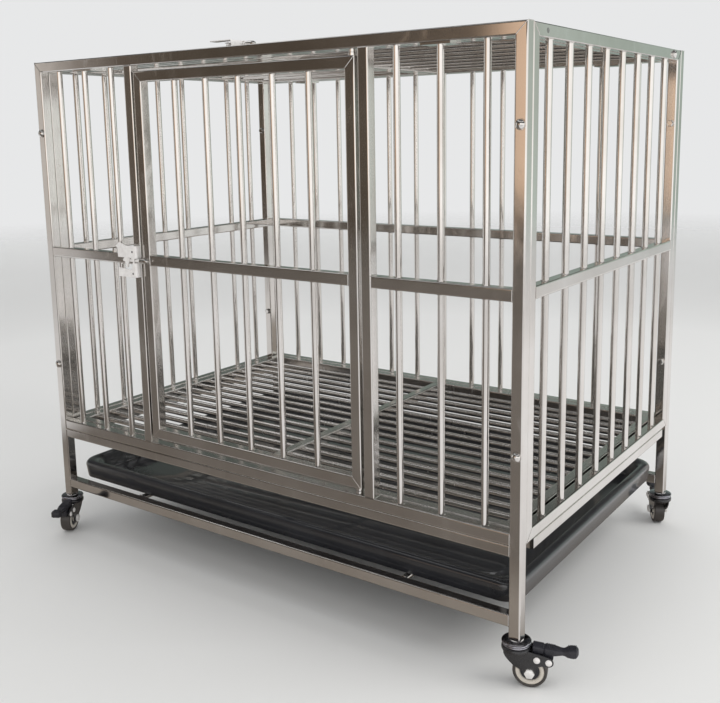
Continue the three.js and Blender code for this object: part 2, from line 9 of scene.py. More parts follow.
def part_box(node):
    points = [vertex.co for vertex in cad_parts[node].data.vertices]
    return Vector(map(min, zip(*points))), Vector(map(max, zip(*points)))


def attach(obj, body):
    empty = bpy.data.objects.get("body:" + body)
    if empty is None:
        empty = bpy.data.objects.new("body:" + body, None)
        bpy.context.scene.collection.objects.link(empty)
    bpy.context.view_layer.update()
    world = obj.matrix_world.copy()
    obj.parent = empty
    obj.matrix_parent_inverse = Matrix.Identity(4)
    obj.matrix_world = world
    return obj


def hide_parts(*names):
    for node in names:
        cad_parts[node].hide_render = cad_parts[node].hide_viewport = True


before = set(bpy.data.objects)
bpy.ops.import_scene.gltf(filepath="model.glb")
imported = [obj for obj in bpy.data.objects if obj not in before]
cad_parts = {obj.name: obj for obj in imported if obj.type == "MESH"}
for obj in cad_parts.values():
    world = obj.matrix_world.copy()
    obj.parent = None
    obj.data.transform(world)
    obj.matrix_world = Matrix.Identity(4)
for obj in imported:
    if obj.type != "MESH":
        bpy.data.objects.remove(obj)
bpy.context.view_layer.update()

# Driving sizes, in metres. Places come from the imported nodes' boxes.
TUBE = 0.022
HALF_TUBE = TUBE / 2
BAR = 0.013
TUBE_CORNER = 0.0026
GRATE_ROD = 0.0127
MID_RAIL_Z = 0.681
SILL_Z = 0.263
LEDGE_TOP = 0.252
LEDGE_BOTTOM = 0.232
LEDGE_Z = (LEDGE_TOP + LEDGE_BOTTOM) / 2
LEDGE_HEIGHT = LEDGE_TOP - LEDGE_BOTTOM
BASE_RAIL_TOP = 0.126
DOOR_POST_X = 0.299
SIDE_SECTION_BARS = (0.362, 0.448, 0.534)
DOOR_BARS = (-0.172, -0.086, 0.0, 0.086, 0.172)
PANEL_BAR_PITCH = 0.085
REST_TAB_X = 0.443
REST_TAB_WIDTH = 0.057
REST_TAB_THICKNESS = 0.004
REST_TAB_REACH = (0.001, 0.036)
MITRE_LEG = 0.03  # from a mitred corner to the first ring beside it
GRATE_PITCH = 0.04205
GRATE_COUNT = 16
WELD_BEAD = 0.0011
HEAT_REACH = 0.030
JOINT_RINGS = (-0.012, 0.0, 0.012)
HEAT_RINGS = (-HEAT_REACH, -0.018, -0.008, 0.0, 0.008, 0.018, HEAT_REACH)
CORNERS = ("fl", "fr", "bl", "br")

# Latches, in their own frame.
LATCH_STANDOFF = 0.012
LATCH_PLATE = 0.002
LATCH_BOLT_DEPTH = -0.007

# Casters, in their own frame.
WHEEL_RADIUS = 0.030
WHEEL_TRAIL = 0.024
PEDAL_PIN = (0.056, 0.053)
UPPER_RIVET = (0.036, 0.055)
LEG_INNER = 0.014
LEG_OUTER = 0.017
CROWN_RADIUS = 0.026
HUB_RADIUS = 0.0105

FRONT_LOW, FRONT_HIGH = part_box("front_panel")
HALF_WIDTH = FRONT_HIGH.x
HALF_DEPTH = -FRONT_LOW.y
TOP = FRONT_HIGH.z
POST_BOTTOM = FRONT_LOW.z
POST_X = HALF_WIDTH - HALF_TUBE
WALL_Y = HALF_DEPTH - HALF_TUBE
TOP_RAIL_Z = TOP - HALF_TUBE
LEDGE_DEPTH = FRONT_HIGH.y - FRONT_LOW.y
BAR_LOW = SILL_Z + HALF_TUBE
BAR_HIGH = TOP_RAIL_Z - HALF_TUBE

# The camera: its place, its turn about Z, how far it looks down, its roll and its lens.
CAMERA_AT = (1.2367, -1.7358, 0.9453)
CAMERA_TURN = 35.146
CAMERA_DOWN = 9.789
CAMERA_ROLL = 0.911
CAMERA_LENS = 46.33
CAMERA_SHIFT = (-0.0066, -0.0838)

X_AXIS = Vector((1, 0, 0))
Y_AXIS = Vector((0, 1, 0))
Z_AXIS = Vector((0, 0, 1))


def span(count, pitch):
    """Evenly spaced places, centred on nought."""
    return [(i - (count - 1) / 2) * pitch for i in range(count)]


BACK_BARS = span(13, PANEL_BAR_PITCH)
PANEL_BARS = span(8, PANEL_BAR_PITCH)
FRONT_BARS = [*SIDE_SECTION_BARS, *(-bar for bar in SIDE_SECTION_BARS)]


# ---------------------------------------------------------------- sections

def arc(cx, cy, radius, start, end, steps):
    """Points on an arc, its angles in degrees."""
    angles = [radians(start + (end - start) * i / steps) for i in range(steps + 1)]
    return [(cx + radius * cos(a), cy + radius * sin(a)) for a in angles]


def box_section(width, height, corner=TUBE_CORNER, steps=4):
    """A rounded rectangle with a support point beside each arc, so that its flats stay flat when smoothed."""
    ease = corner * 0.15
    x = width / 2 - corner
    y = height / 2 - corner
    points = []
    for quarter, (sx, sy) in enumerate(((1, 1), (-1, 1), (-1, -1), (1, -1))):
        bend = arc(sx * x, sy * y, corner, quarter * 90, quarter * 90 + 90, steps)
        first = radians(quarter * 90)
        start = Vector(bend[0]) - Vector((-sin(first), cos(first))) * ease
        last = radians(quarter * 90 + 90)
        end = Vector(bend[-1]) + Vector((-sin(last), cos(last))) * ease
        points += [tuple(start), *bend, tuple(end)]
    return points


def round_section(radius, steps=16):
    return arc(0, 0, radius, 0, 360, steps)[:-1]


SQUARE = box_section(TUBE, TUBE)
ROUND = round_section(BAR / 2)


# ---------------------------------------------------------------- shells

class Shell:
    """A mesh being built from tubes, bars and weld beads. Welds leave heat colour on the steel round them."""

    def __init__(self):
        self.bm = bmesh.new()
        self.uv = self.bm.loops.layers.uv.new("along")
        self.welds = []

    def sweep(self, path, normal, section, closed=False, caps=True):
        """Carries a section along a flat path whose plane has that normal, mitred at the corners."""
        path = [Vector(p) for p in path]
        count = len(path)
        rings = []
        travelled = 0.0
        for i, here in enumerate(path):
            before = path[i - 1] if i > 0 or closed else None
            after = path[(i + 1) % count] if i + 1 < count or closed else None
            into = (here - before).normalized() if before is not None else (after - here).normalized()
            out = (after - here).normalized() if after is not None else into
            side_in = normal.cross(into)
            side_out = normal.cross(out)
            side = (side_in + side_out) / (1 + side_in.dot(side_out))
            if i > 0:
                travelled += (here - path[i - 1]).length
            rings.append((travelled, [self.bm.verts.new(here + side * a + normal * b) for a, b in section]))
        if closed:
            rings.append((travelled + (path[0] - path[-1]).length, rings[0][1]))
        self._skin(rings, section)
        if caps and not closed:
            self.bm.faces.new(rings[0][1])
            self.bm.faces.new(rings[-1][1])

    def _skin(self, rings, section):
        around = len(section)
        edges = [(Vector(section[(j + 1) % around]) - Vector(section[j])).length for j in range(around)]
        across = [sum(edges[:j]) for j in range(around + 1)]
        for (u0, low), (u1, high) in zip(rings, rings[1:]):
            for j in range(around):
                k = (j + 1) % around
                face = self.bm.faces.new((low[j], low[k], high[k], high[j]))
                corners = ((u0, across[j]), (u0, across[j + 1]), (u1, across[j + 1]), (u1, across[j]))
                for loop, uv in zip(face.loops, corners):
                    loop[self.uv].uv = uv

    def run(self, start, end, normal, section, joints=()):
        """A straight tube or bar with extra rings round the welds on it."""
        start, end = Vector(start), Vector(end)
        length = (end - start).length
        along = (end - start) / length
        stops = {0.0, length}
        for joint in joints:
            centre = (Vector(joint) - start).dot(along)
            for offset in HEAT_RINGS:
                if 0.001 < centre + offset < length - 0.001:
                    stops.add(round(centre + offset, 5))
        self.sweep([start + along * s for s in sorted(stops)], normal, section)

    def weld_round(self, centre, axis, radius=BAR / 2, bead=WELD_BEAD):
        """A bead round a bar where it meets a tube."""
        across = axis.orthogonal().normalized()
        other = axis.cross(across)
        steps = 18
        path = []
        for i in range(steps):
            a = 2 * pi * i / steps
            path.append(Vector(centre) + (across * cos(a) + other * sin(a)) * (radius + bead * 0.2))
        self.sweep(path, axis, round_section(bead, 6), closed=True)
        self.welds.append(Vector(centre))

    def weld_square(self, centre, axis, width=TUBE, height=TUBE, bead=WELD_BEAD * 0.7):
        """A bead round a square tube where it meets another."""
        across = Z_AXIS if abs(axis.z) < 0.5 else X_AXIS
        other = axis.cross(across)
        outline = box_section(width, height)
        path = [Vector(centre) + across * a + other * b for a, b in outline]
        self.sweep(path, axis, round_section(bead, 6), closed=True)
        for sa, sb in ((1, 0), (-1, 0), (0, 1), (0, -1)):
            self.welds.append(Vector(centre) + across * (sa * width / 2) + other * (sb * height / 2))

    def plate(self, low, high):
        """A thin flat plate between two corners."""
        made = bmesh.ops.create_cube(self.bm, size=1)["verts"]
        low, high = Vector(low), Vector(high)
        for vert in made:
            vert.co = Vector((low[i] if vert.co[i] < 0 else high[i]) for i in range(3))

    def lathe(self, profile, matrix=Matrix(), steps=32):
        """Turns a profile of (radius, height) points round the z axis, closed where it meets the axis."""
        rings = []
        for radius, height in profile:
            if radius < 1e-7:
                rings.append([self.bm.verts.new(matrix @ Vector((0, 0, height)))])
                continue
            spots = [2 * pi * i / steps for i in range(steps)]
            rings.append([self.bm.verts.new(matrix @ Vector((radius * cos(a), radius * sin(a), height)))
                          for a in spots])
        for low, high in zip(rings, rings[1:]):
            for j in range(steps):
                k = (j + 1) % steps
                corners = [low[j % len(low)], low[k % len(low)], high[k % len(high)], high[j % len(high)]]
                self.bm.faces.new(list(dict.fromkeys(corners)))

    def drum(self, radius, low, high, matrix=Matrix(), steps=32):
        """A plain cylinder between two heights."""
        self.lathe([(0, low), (radius, low), (radius, high), (0, high)], matrix, steps)

    def extrude(self, outline, low, high, matrix=Matrix()):
        """A plate with an outline in the xz plane, between two depths in y."""
        near = [self.bm.verts.new(matrix @ Vector((x, low, z))) for x, z in outline]
        far = [self.bm.verts.new(matrix @ Vector((x, high, z))) for x, z in outline]
        self.bm.faces.new(near)
        self.bm.faces.new(far)
        count = len(outline)
        for i in range(count):
            k = (i + 1) % count
            self.bm.faces.new((near[i], near[k], far[k], far[i]))

    def skin(self, rings):
        """Rings of points joined one to the next and closed at both ends."""
        made = [[self.bm.verts.new(point) for point in ring] for ring in rings]
        count = len(made[0])
        for low, high in zip(made, made[1:]):
            for i in range(count):
                k = (i + 1) % count
                self.bm.faces.new((low[i], low[k], high[k], high[i]))
        self.bm.faces.new(made[0])
        self.bm.faces.new(made[-1])

    def finish(self, name, body, slot, stands_for=(), material=None, bevel=0.0, crease=35, shift=None):
        """Turns the shell into a piece that rides on a body and stands for the given CAD nodes."""
        bmesh.ops.recalc_face_normals(self.bm, faces=self.bm.faces)
        if shift is not None:
            bmesh.ops.transform(self.bm, matrix=shift, verts=self.bm.verts)
            self.welds = [shift @ weld for weld in self.welds]
        mesh = bpy.data.meshes.new(name)
        self.bm.to_mesh(mesh)
        self.bm.free()
        self._write_heat(mesh)
        mesh.shade_smooth()
        mesh.set_sharp_from_angle(angle=radians(crease))
        mesh.materials.append(material or MATERIALS[slot])
        piece = bpy.data.objects.new(name, mesh)
        bpy.context.scene.collection.objects.link(piece)
        if bevel:
            edges = piece.modifiers.new("edges", "BEVEL")
            edges.width = bevel
            edges.segments = 2
            edges.limit_method = "ANGLE"
            edges.angle_limit = radians(30)
            edges.harden_normals = True
        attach(piece, body)
        if stands_for:
            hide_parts(*stands_for)

    def _write_heat(self, mesh):
        if not self.welds:
            return
        points = np.array([v.co for v in mesh.vertices])
        nearest = np.full(len(points), 1.0)
        for weld in self.welds:
            nearest = np.minimum(nearest, np.linalg.norm(points - np.array(weld), axis=1))
        heat = np.clip(1 - nearest / HEAT_REACH, 0, 1)
        layer = mesh.attributes.new("heat", "FLOAT", "POINT")
        layer.data.foreach_set("value", heat.astype(np.float32))


# ---------------------------------------------------------------- materials

def feed(tree, node, inputs):
    """Sets a node's inputs, each to a value or to another node's output."""
    for key, value in inputs.items():
        if isinstance(value, bpy.types.NodeSocket):
            tree.links.new(value, node.inputs[key])
        else:
            node.inputs[key].default_value = value


def add(tree, kind, inputs=None, **settings):
    node = tree.nodes.new(kind)
    for key, value in settings.items():
        setattr(node, key, value)
    feed(tree, node, inputs or {})
    return node


def noise(tree, where, scale, detail=3.0, roughness=0.5, distortion=0.0):
    inputs = {"Vector": where, "Scale": scale, "Detail": detail}
    inputs |= {"Roughness": roughness, "Distortion": distortion}
    return add(tree, "ShaderNodeTexNoise", inputs).outputs["Fac"]


def remap(tree, value, low, high, to_low=0.0, to_high=1.0):
    inputs = {"Value": value, "From Min": low, "From Max": high, "To Min": to_low, "To Max": to_high}
    return add(tree, "ShaderNodeMapRange", inputs).outputs["Result"]


def blend_colour(tree, share, first, second):
    node = add(tree, "ShaderNodeMix", data_type="RGBA")
    feed(tree, node, {0: share, 6: first, 7: second})
    return node.outputs[2]


def maths(tree, operation, a, b):
    node = add(tree, "ShaderNodeMath", {0: a, 1: b}, operation=operation)
    return node.outputs["Value"]


def scaled(tree, where, scale):
    return add(tree, "ShaderNodeMapping", {"Vector": where, "Scale": scale}).outputs["Vector"]


def shader(name):
    """A new material: its node tree, its Principled shader and object coordinates."""
    made = bpy.data.materials.new(name)
    made.use_nodes = True
    tree = made.node_tree
    principled = tree.nodes["Principled BSDF"]
    where = add(tree, "ShaderNodeTexCoord").outputs["Object"]
    return made, tree, principled, where


def bump(tree, principled, heights):
    """Chains bumps of (height, strength, distance) into the shader's normal."""
    previous = None
    for height, strength, distance in heights:
        inputs = {"Height": height, "Strength": strength, "Distance": distance}
        if previous is not None:
            inputs["Normal"] = previous
        previous = add(tree, "ShaderNodeBump", inputs).outputs["Normal"]
    tree.links.new(previous, principled.inputs["Normal"])


def stainless(name, wave_strength, rough_low, rough_high):
    """Polished stainless: a wavy skin, lines and smears in its roughness, tan heat colour at the welds."""
    made, tree, principled, where = shader(name)
    along = add(tree, "ShaderNodeUVMap", uv_map="along").outputs["UV"]
    heat = add(tree, "ShaderNodeAttribute", attribute_name="heat").outputs["Fac"]
    cloud = noise(tree, where, 7.0, 3.0, 0.55)
    lines = noise(tree, scaled(tree, along, (7.0, 2400.0, 1.0)), 1.0, 2.0)
    smear = noise(tree, scaled(tree, where, (1.0, 1.0, 0.35)), 26.0, 4.0, 0.6, 0.8)
    smear = remap(tree, smear, 0.56, 0.72)
    tone = blend_colour(tree, remap(tree, cloud, 0.3, 0.7), (0.61, 0.58, 0.55, 1), (0.72, 0.70, 0.68, 1))
    patchy = remap(tree, noise(tree, where, 60.0), 0.25, 0.7)
    hot = remap(tree, maths(tree, "MULTIPLY", heat, patchy), 0.10, 0.65)
    tinted = blend_colour(tree, hot, tone, (0.50, 0.38, 0.26, 1))
    milky = blend_colour(tree, maths(tree, "MULTIPLY", smear, 0.25), tinted, (0.78, 0.77, 0.76, 1))
    rough = remap(tree, cloud, 0.3, 0.75, rough_low, rough_high)
    rough = maths(tree, "ADD", rough, maths(tree, "MULTIPLY", smear, 0.10))
    rough = maths(tree, "ADD", rough, maths(tree, "MULTIPLY", hot, 0.08))
    rough = maths(tree, "ADD", rough, remap(tree, lines, 0.3, 0.7, 0.0, 0.03))
    feed(tree, principled, {"Base Color": milky, "Metallic": 1.0, "Roughness": rough})
    wave = noise(tree, scaled(tree, where, (1.0, 1.0, 0.5)), 9.0, 1.0)
    bump(tree, principled, [(wave, wave_strength, 0.004)])
    return made


def plating(name, metallic, grain, tones, rough, cloud_bump, scratches=None, tone_start=0.3):
    """Plated metal: cloudy patches in tone and roughness, and optional scratches of (stretch, strength)."""
    made, tree, principled, where = shader(name)
    cloud = noise(tree, where, grain, 4.0, 0.6)
    heights = [(cloud, *cloud_bump)]
    if scratches:
        stretch, strength = scratches
        heights.append((noise(tree, scaled(tree, where, stretch), 1.0, 2.0), strength, 0.0003))
    feed(tree, principled, {
        "Base Color": blend_colour(tree, remap(tree, cloud, tone_start, 0.7), *tones),
        "Metallic": metallic,
        "Roughness": remap(tree, cloud, 0.3, 0.75, *rough),
    })
    bump(tree, principled, heights)
    return made


def plastic(name, dark, light, rough_low, rough_high, grain, scratches=0.0, coat=0.0):
    """Moulded plastic: fine grain, slow colour drift, dusty scuffs and optional long scratches."""
    made, tree, principled, where = shader(name)
    drift = noise(tree, where, 6.0, 3.0)
    scuff = remap(tree, noise(tree, where, 70.0, 6.0, 0.7, 0.6), 0.58, 0.75)
    tone = blend_colour(tree, remap(tree, drift, 0.3, 0.7), dark, light)
    dusty = tuple(0.55 * c + 0.08 for c in light[:3]) + (1,)
    scuffed = blend_colour(tree, maths(tree, "MULTIPLY", scuff, 0.25), tone, dusty)
    rough = maths(tree, "ADD", remap(tree, drift, 0.3, 0.7, rough_low, rough_high),
                  maths(tree, "MULTIPLY", scuff, 0.12))
    feed(tree, principled, {"Base Color": scuffed, "Roughness": rough, "Coat Weight": coat})
    heights = [(noise(tree, where, grain, 2.0), 0.12, 0.0006)]
    if scratches:
        heights.append((noise(tree, scaled(tree, where, (30.0, 700.0, 30.0)), 1.0), scratches, 0.0004))
    bump(tree, principled, heights)
    return made


def black_paint(name, rough_low, rough_high):
    """Black paint on pressed steel, worn brighter in specks along its edges."""
    made, tree, principled, where = shader(name)
    pointiness = add(tree, "ShaderNodeNewGeometry").outputs["Pointiness"]
    specks = noise(tree, where, 420.0, 4.0, 0.7)
    edge = remap(tree, maths(tree, "MULTIPLY", remap(tree, pointiness, 0.53, 0.60), specks), 0.28, 0.42)
    drift = remap(tree, noise(tree, where, 40.0), 0.3, 0.7)
    tone = blend_colour(tree, drift, (0.008, 0.008, 0.010, 1), (0.018, 0.018, 0.021, 1))
    feed(tree, principled, {
        "Base Color": blend_colour(tree, maths(tree, "MULTIPLY", edge, 0.6), tone, (0.22, 0.21, 0.20, 1)),
        "Roughness": remap(tree, specks, 0.3, 0.7, rough_low, rough_high),
        "Coat Weight": 0.6,
        "Coat Roughness": 0.08,
    })
    bump(tree, principled, [(noise(tree, where, 900.0, 2.0), 0.10, 0.0004)])
    return made


MATERIALS = {
    "stainless_tube": stainless("stainless_tube", 0.05, 0.07, 0.12),
    "stainless_grate": stainless("stainless_grate", 0.0, 0.16, 0.22),
    # The casters' raceway rings.
    "dark_chrome": plating("dark_chrome", 1.0, 140.0, ((0.34, 0.34, 0.38, 1), (0.50, 0.50, 0.54, 1)),
                           (0.07, 0.20), (0.05, 0.0006), tone_start=0.35),
    # Bolts, pins and the latches' keepers.
    "bright_plating": plating("bright_plating", 1.0, 90.0, ((0.60, 0.58, 0.56, 1), (0.74, 0.73, 0.71, 1)),
                              (0.06, 0.18), (0.10, 0.001), ((900.0, 60.0, 900.0), 0.05)),
    # The latches' stampings and rods, and the casters' nuts and rivets.
    "satin_zinc": plating("satin_zinc", 0.2, 110.0, ((0.84, 0.81, 0.79, 1), (0.97, 0.95, 0.93, 1)),
                          (0.28, 0.46), (0.08, 0.0008), ((60.0, 900.0, 1500.0), 0.06)),
    "fork_paint": black_paint("fork_paint", 0.22, 0.36),
    "tray_plastic": plastic("tray_plastic", (0.009, 0.010, 0.013, 1), (0.019, 0.021, 0.027, 1), 0.26, 0.38,
                            1400.0, scratches=0.08, coat=1.0),
    "pedal_plastic": plastic("pedal_plastic", (0.020, 0.020, 0.026, 1), (0.036, 0.036, 0.046, 1), 0.34, 0.46,
                             1800.0),
    "wheel_core": plastic("wheel_core", (0.66, 0.60, 0.52, 1), (0.78, 0.73, 0.65, 1), 0.30, 0.42, 900.0,
                          coat=0.2),
    "wheel_tread": plastic("wheel_tread", (0.045, 0.040, 0.037, 1), (0.085, 0.076, 0.070, 1), 0.26, 0.40,
                           700.0),
}


# ---------------------------------------------------------------- panels

def upright_bars(shell, places, z_low, z_high, normal, crossings=()):
    """Vertical bars between two rails, welded to them and to each rail that they cross."""
    for x, y in places:
        joints = [(x, y, z_low), (x, y, z_high)]
        joints += [(x, y, z + side * HALF_TUBE) for z in crossings for side in (-1, 1)]
        shell.run((x, y, z_low - 0.002), (x, y, z_high + 0.002), normal, ROUND, joints)
        for joint in joints:
            shell.weld_round(joint, Z_AXIS)


def long_panel(shell, side):
    """What the long panels share: posts and top rail mitred from one tube, sill, ledge and base rail."""
    y = side * WALL_Y
    inside = POST_X - HALF_TUBE
    shell.sweep(post_path(y), Y_AXIS, SQUARE)
    for z, height in ((SILL_Z, TUBE), (LEDGE_Z, LEDGE_HEIGHT), (BASE_RAIL_TOP - HALF_TUBE, TUBE)):
        section = box_section(height, TUBE)
        shell.run((-inside, y, z), (inside, y, z), Y_AXIS, section, rail_joints(side, y, z))
        for x in (-inside, inside):
            shell.weld_square((x, y, z), X_AXIS, height, TUBE)
    ledge_y = (y - side * HALF_TUBE + side * (HALF_DEPTH - LEDGE_DEPTH)) / 2
    ledge = box_section(LEDGE_HEIGHT, LEDGE_DEPTH - TUBE + 0.004, 0.0015)
    ledge_x = inside - 0.003
    shell.run((-ledge_x, ledge_y, LEDGE_Z), (ledge_x, ledge_y, LEDGE_Z), Y_AXIS, ledge)
    for x in (-REST_TAB_X, REST_TAB_X):
        reach = sorted(side * (HALF_DEPTH - inset) for inset in REST_TAB_REACH)
        under = TOP - TUBE
        shell.plate((x - REST_TAB_WIDTH / 2, reach[0], under - REST_TAB_THICKNESS),
                    (x + REST_TAB_WIDTH / 2, reach[1], under))


def post_path(y):
    """Up one post, along the top rail and down the other, with rings where the rails are welded on."""
    stops = []
    for z in (BASE_RAIL_TOP - HALF_TUBE, LEDGE_BOTTOM, LEDGE_TOP, SILL_Z + HALF_TUBE, MID_RAIL_Z):
        stops += [z - 0.014, z, z + 0.014]
    heights = sorted(set([POST_BOTTOM] + [round(z, 4) for z in stops]))
    left = [(-POST_X, y, z) for z in heights]
    right = [(POST_X, y, z) for z in reversed(heights)]
    leg = MITRE_LEG
    top = [(-POST_X, y, TOP_RAIL_Z - leg), (-POST_X, y, TOP_RAIL_Z), (leg - POST_X, y, TOP_RAIL_Z)]
    for x in sorted([-DOOR_POST_X, DOOR_POST_X, *FRONT_BARS]):
        top += [(x + step, y, TOP_RAIL_Z) for step in JOINT_RINGS]
    top += [(POST_X - leg, y, TOP_RAIL_Z), (POST_X, y, TOP_RAIL_Z), (POST_X, y, TOP_RAIL_Z - leg)]
    return left + top + right


def rail_joints(side, y, z):
    places = BACK_BARS if side > 0 else [*FRONT_BARS, -DOOR_POST_X, DOOR_POST_X]
    return [(x, y, z) for x in places] if z == SILL_Z else []


def mitre_seams(shell, corners, normal, inward):
    """Beads along the mitres of a frame: one flat ring on each corner's diagonal."""
    for corner, (a, b) in zip(corners, inward):
        diagonal = (Vector(a) + Vector(b)).normalized()
        across = normal.cross(diagonal)
        outline = [(p * 2 ** 0.5, q) for p, q in box_section(TUBE, TUBE)]
        path = [Vector(corner) + diagonal * p + normal * q for p, q in outline]
        shell.sweep(path, across, round_section(0.0006, 6), closed=True)
        shell.welds.append(Vector(corner) + diagonal * HALF_TUBE * 2 ** 0.5)
        shell.welds.append(Vector(corner) + normal * HALF_TUBE)
        shell.welds.append(Vector(corner) - normal * HALF_TUBE)


def top_seams(shell, y):
    corners = [(-POST_X, y, TOP_RAIL_Z), (POST_X, y, TOP_RAIL_Z)]
    mitre_seams(shell, corners, Y_AXIS, [((1, 0, 0), (0, 0, -1)), ((-1, 0, 0), (0, 0, -1))])


def middle_rail(shell, start, end, y, bars):
    """A rail along x at half height, welded at both ends, with joints where the bars cross it."""
    joints = [(*bar, MID_RAIL_Z) for bar in bars]
    shell.run((start, y, MID_RAIL_Z), (end, y, MID_RAIL_Z), Y_AXIS, SQUARE, joints)
    for x in (start, end):
        shell.weld_square((x, y, MID_RAIL_Z), X_AXIS)


def front_panel():
    shell = Shell()
    y = -WALL_Y
    long_panel(shell, -1)
    for side in (-1, 1):
        x = side * DOOR_POST_X
        joints = [(x, y, z) for z in (BAR_LOW, MID_RAIL_Z, BAR_HIGH)]
        shell.run(joints[0], joints[2], Y_AXIS, SQUARE, joints)
        shell.weld_square(joints[0], Z_AXIS)
        shell.weld_square(joints[2], Z_AXIS)
        ends = (side * (DOOR_POST_X + HALF_TUBE), side * (POST_X - HALF_TUBE))
        bars = [(side * bar, y) for bar in SIDE_SECTION_BARS]
        middle_rail(shell, *ends, y, bars)
        upright_bars(shell, bars, BAR_LOW, BAR_HIGH, Y_AXIS, [MID_RAIL_Z])
    top_seams(shell, y)
    shell.finish("front_panel_tubes", "frame", "stainless_tube", ["front_panel"])


def back_panel():
    shell = Shell()
    y = WALL_Y
    long_panel(shell, 1)
    inside = POST_X - HALF_TUBE
    bars = [(x, y) for x in BACK_BARS]
    middle_rail(shell, -inside, inside, y, bars)
    upright_bars(shell, bars, BAR_LOW, BAR_HIGH, Y_AXIS, [MID_RAIL_Z])
    top_seams(shell, y)
    shell.finish("back_panel_tubes", "frame", "stainless_tube", ["back_panel"])


def ring_path(corners, joints=()):
    """A closed rectangle with rings next to its corners and at the joints on its sides."""
    path = []
    count = len(corners)
    for i, corner in enumerate(corners):
        here = Vector(corner)
        there = Vector(corners[(i + 1) % count])
        along = (there - here).normalized()
        length = (there - here).length
        stops = {0.0, MITRE_LEG, length - MITRE_LEG}
        for joint in joints:
            offset = Vector(joint) - here
            place = offset.dot(along)
            near = (offset - along * place).length < HALF_TUBE * 1.2
            if near and MITRE_LEG < place < length - MITRE_LEG:
                stops.update(round(place + step, 5) for step in JOINT_RINGS)
        path += [here + along * stop for stop in sorted(stops)]
    return path


def frame_ring(shell, corners, normal, joints=()):
    """A mitred rectangular frame of square tube with a seam at each corner."""
    shell.sweep(ring_path(corners, joints), normal, SQUARE, closed=True)
    count = len(corners)
    inward = []
    for i, corner in enumerate(corners):
        after = (Vector(corners[(i + 1) % count]) - Vector(corner)).normalized()
        before = (Vector(corners[i - 1]) - Vector(corner)).normalized()
        inward.append((after, before))
    mitre_seams(shell, corners, normal, inward)


def cross_rail(shell, x, inside, z, normal, bars=()):
    """A rail along y, welded at both ends, with joints where the bars meet it."""
    shell.run((x, -inside, z), (x, inside, z), normal, SQUARE, [(x, y, z) for y in bars])
    for y in (-inside, inside):
        shell.weld_square((x, y, z), Y_AXIS)


def end_panel(side):
    node = "right_side_panel" if side > 0 else "left_side_panel"
    low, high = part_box(node)
    x = side * POST_X
    post_y = high.y - HALF_TUBE
    shell = Shell()
    corners = [(x, -post_y, SILL_Z), (x, post_y, SILL_Z), (x, post_y, TOP_RAIL_Z), (x, -post_y, TOP_RAIL_Z)]
    joints = [(x, y, z) for y in PANEL_BARS for z in (SILL_Z, TOP_RAIL_Z)]
    joints += [(x, y, MID_RAIL_Z) for y in (-post_y, post_y)]
    frame_ring(shell, corners, X_AXIS, joints)
    inside = post_y - HALF_TUBE
    cross_rail(shell, x, inside, MID_RAIL_Z, X_AXIS, PANEL_BARS)
    upright_bars(shell, [(x, y) for y in PANEL_BARS], BAR_LOW, BAR_HIGH, X_AXIS, [MID_RAIL_Z])
    ledge_x = (high.x + low.x) / 2
    ledge_y = inside - 0.006
    ledge = box_section(LEDGE_HEIGHT, high.x - low.x, 0.002)
    shell.run((ledge_x, -ledge_y, LEDGE_Z), (ledge_x, ledge_y, LEDGE_Z), X_AXIS, ledge)
    shell.finish(node + "_tubes", "frame", "stainless_tube", [node])


def lying_bars(shell, x_low, x_high, z):
    for y in PANEL_BARS:
        shell.run((x_low, y, z), (x_high, y, z), Z_AXIS, ROUND, [(x_low, y, z), (x_high, y, z)])
        for x in (x_low, x_high):
            shell.weld_round((x, y, z), X_AXIS)


def rectangle(low, high, z):
    x0, y0 = low.x + HALF_TUBE, low.y + HALF_TUBE
    x1, y1 = high.x - HALF_TUBE, high.y - HALF_TUBE
    return [(x0, y0, z), (x1, y0, z), (x1, y1, z), (x0, y1, z)]


def roof_panel():
    low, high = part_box("roof_panel")
    z = (low.z + high.z) / 2
    shell = Shell()
    frame_ring(shell, rectangle(low, high, z), Z_AXIS, [(high.x - HALF_TUBE, y, z) for y in PANEL_BARS])
    cross_rail(shell, 0, high.y - TUBE, z, Z_AXIS, PANEL_BARS)
    lying_bars(shell, HALF_TUBE, high.x - TUBE, z)
    shell.finish("roof_panel_tubes", "frame", "stainless_tube", ["roof_panel"])


def roof_door():
    low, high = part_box("roof_door")
    z = (low.z + high.z) / 2
    shell = Shell()
    joints = [(x, y, z) for x in (low.x + HALF_TUBE, high.x - HALF_TUBE) for y in PANEL_BARS]
    frame_ring(shell, rectangle(low, high, z), Z_AXIS, joints)
    lying_bars(shell, low.x + TUBE, high.x - TUBE, z)
    shell.finish("roof_door_tubes", "roof_door", "stainless_tube", ["roof_door"])


def front_door():
    low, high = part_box("front_door")
    y = -WALL_Y
    x = high.x - HALF_TUBE
    bottom = low.z + HALF_TUBE
    top = high.z - HALF_TUBE
    shell = Shell()
    corners = [(-x, y, bottom), (-x, y, top), (x, y, top), (x, y, bottom)]
    joints = [(bar, y, z) for bar in DOOR_BARS for z in (bottom, top)]
    joints += [(side * x, y, MID_RAIL_Z) for side in (-1, 1)]
    frame_ring(shell, corners, Y_AXIS, joints)
    inside = x - HALF_TUBE
    bars = [(bar, y) for bar in DOOR_BARS]
    middle_rail(shell, -inside, inside, y, bars)
    upright_bars(shell, bars, bottom + HALF_TUBE, top - HALF_TUBE, Y_AXIS, [MID_RAIL_Z])
    shell.finish("front_door_tubes", "front_door", "stainless_tube", ["front_door"])


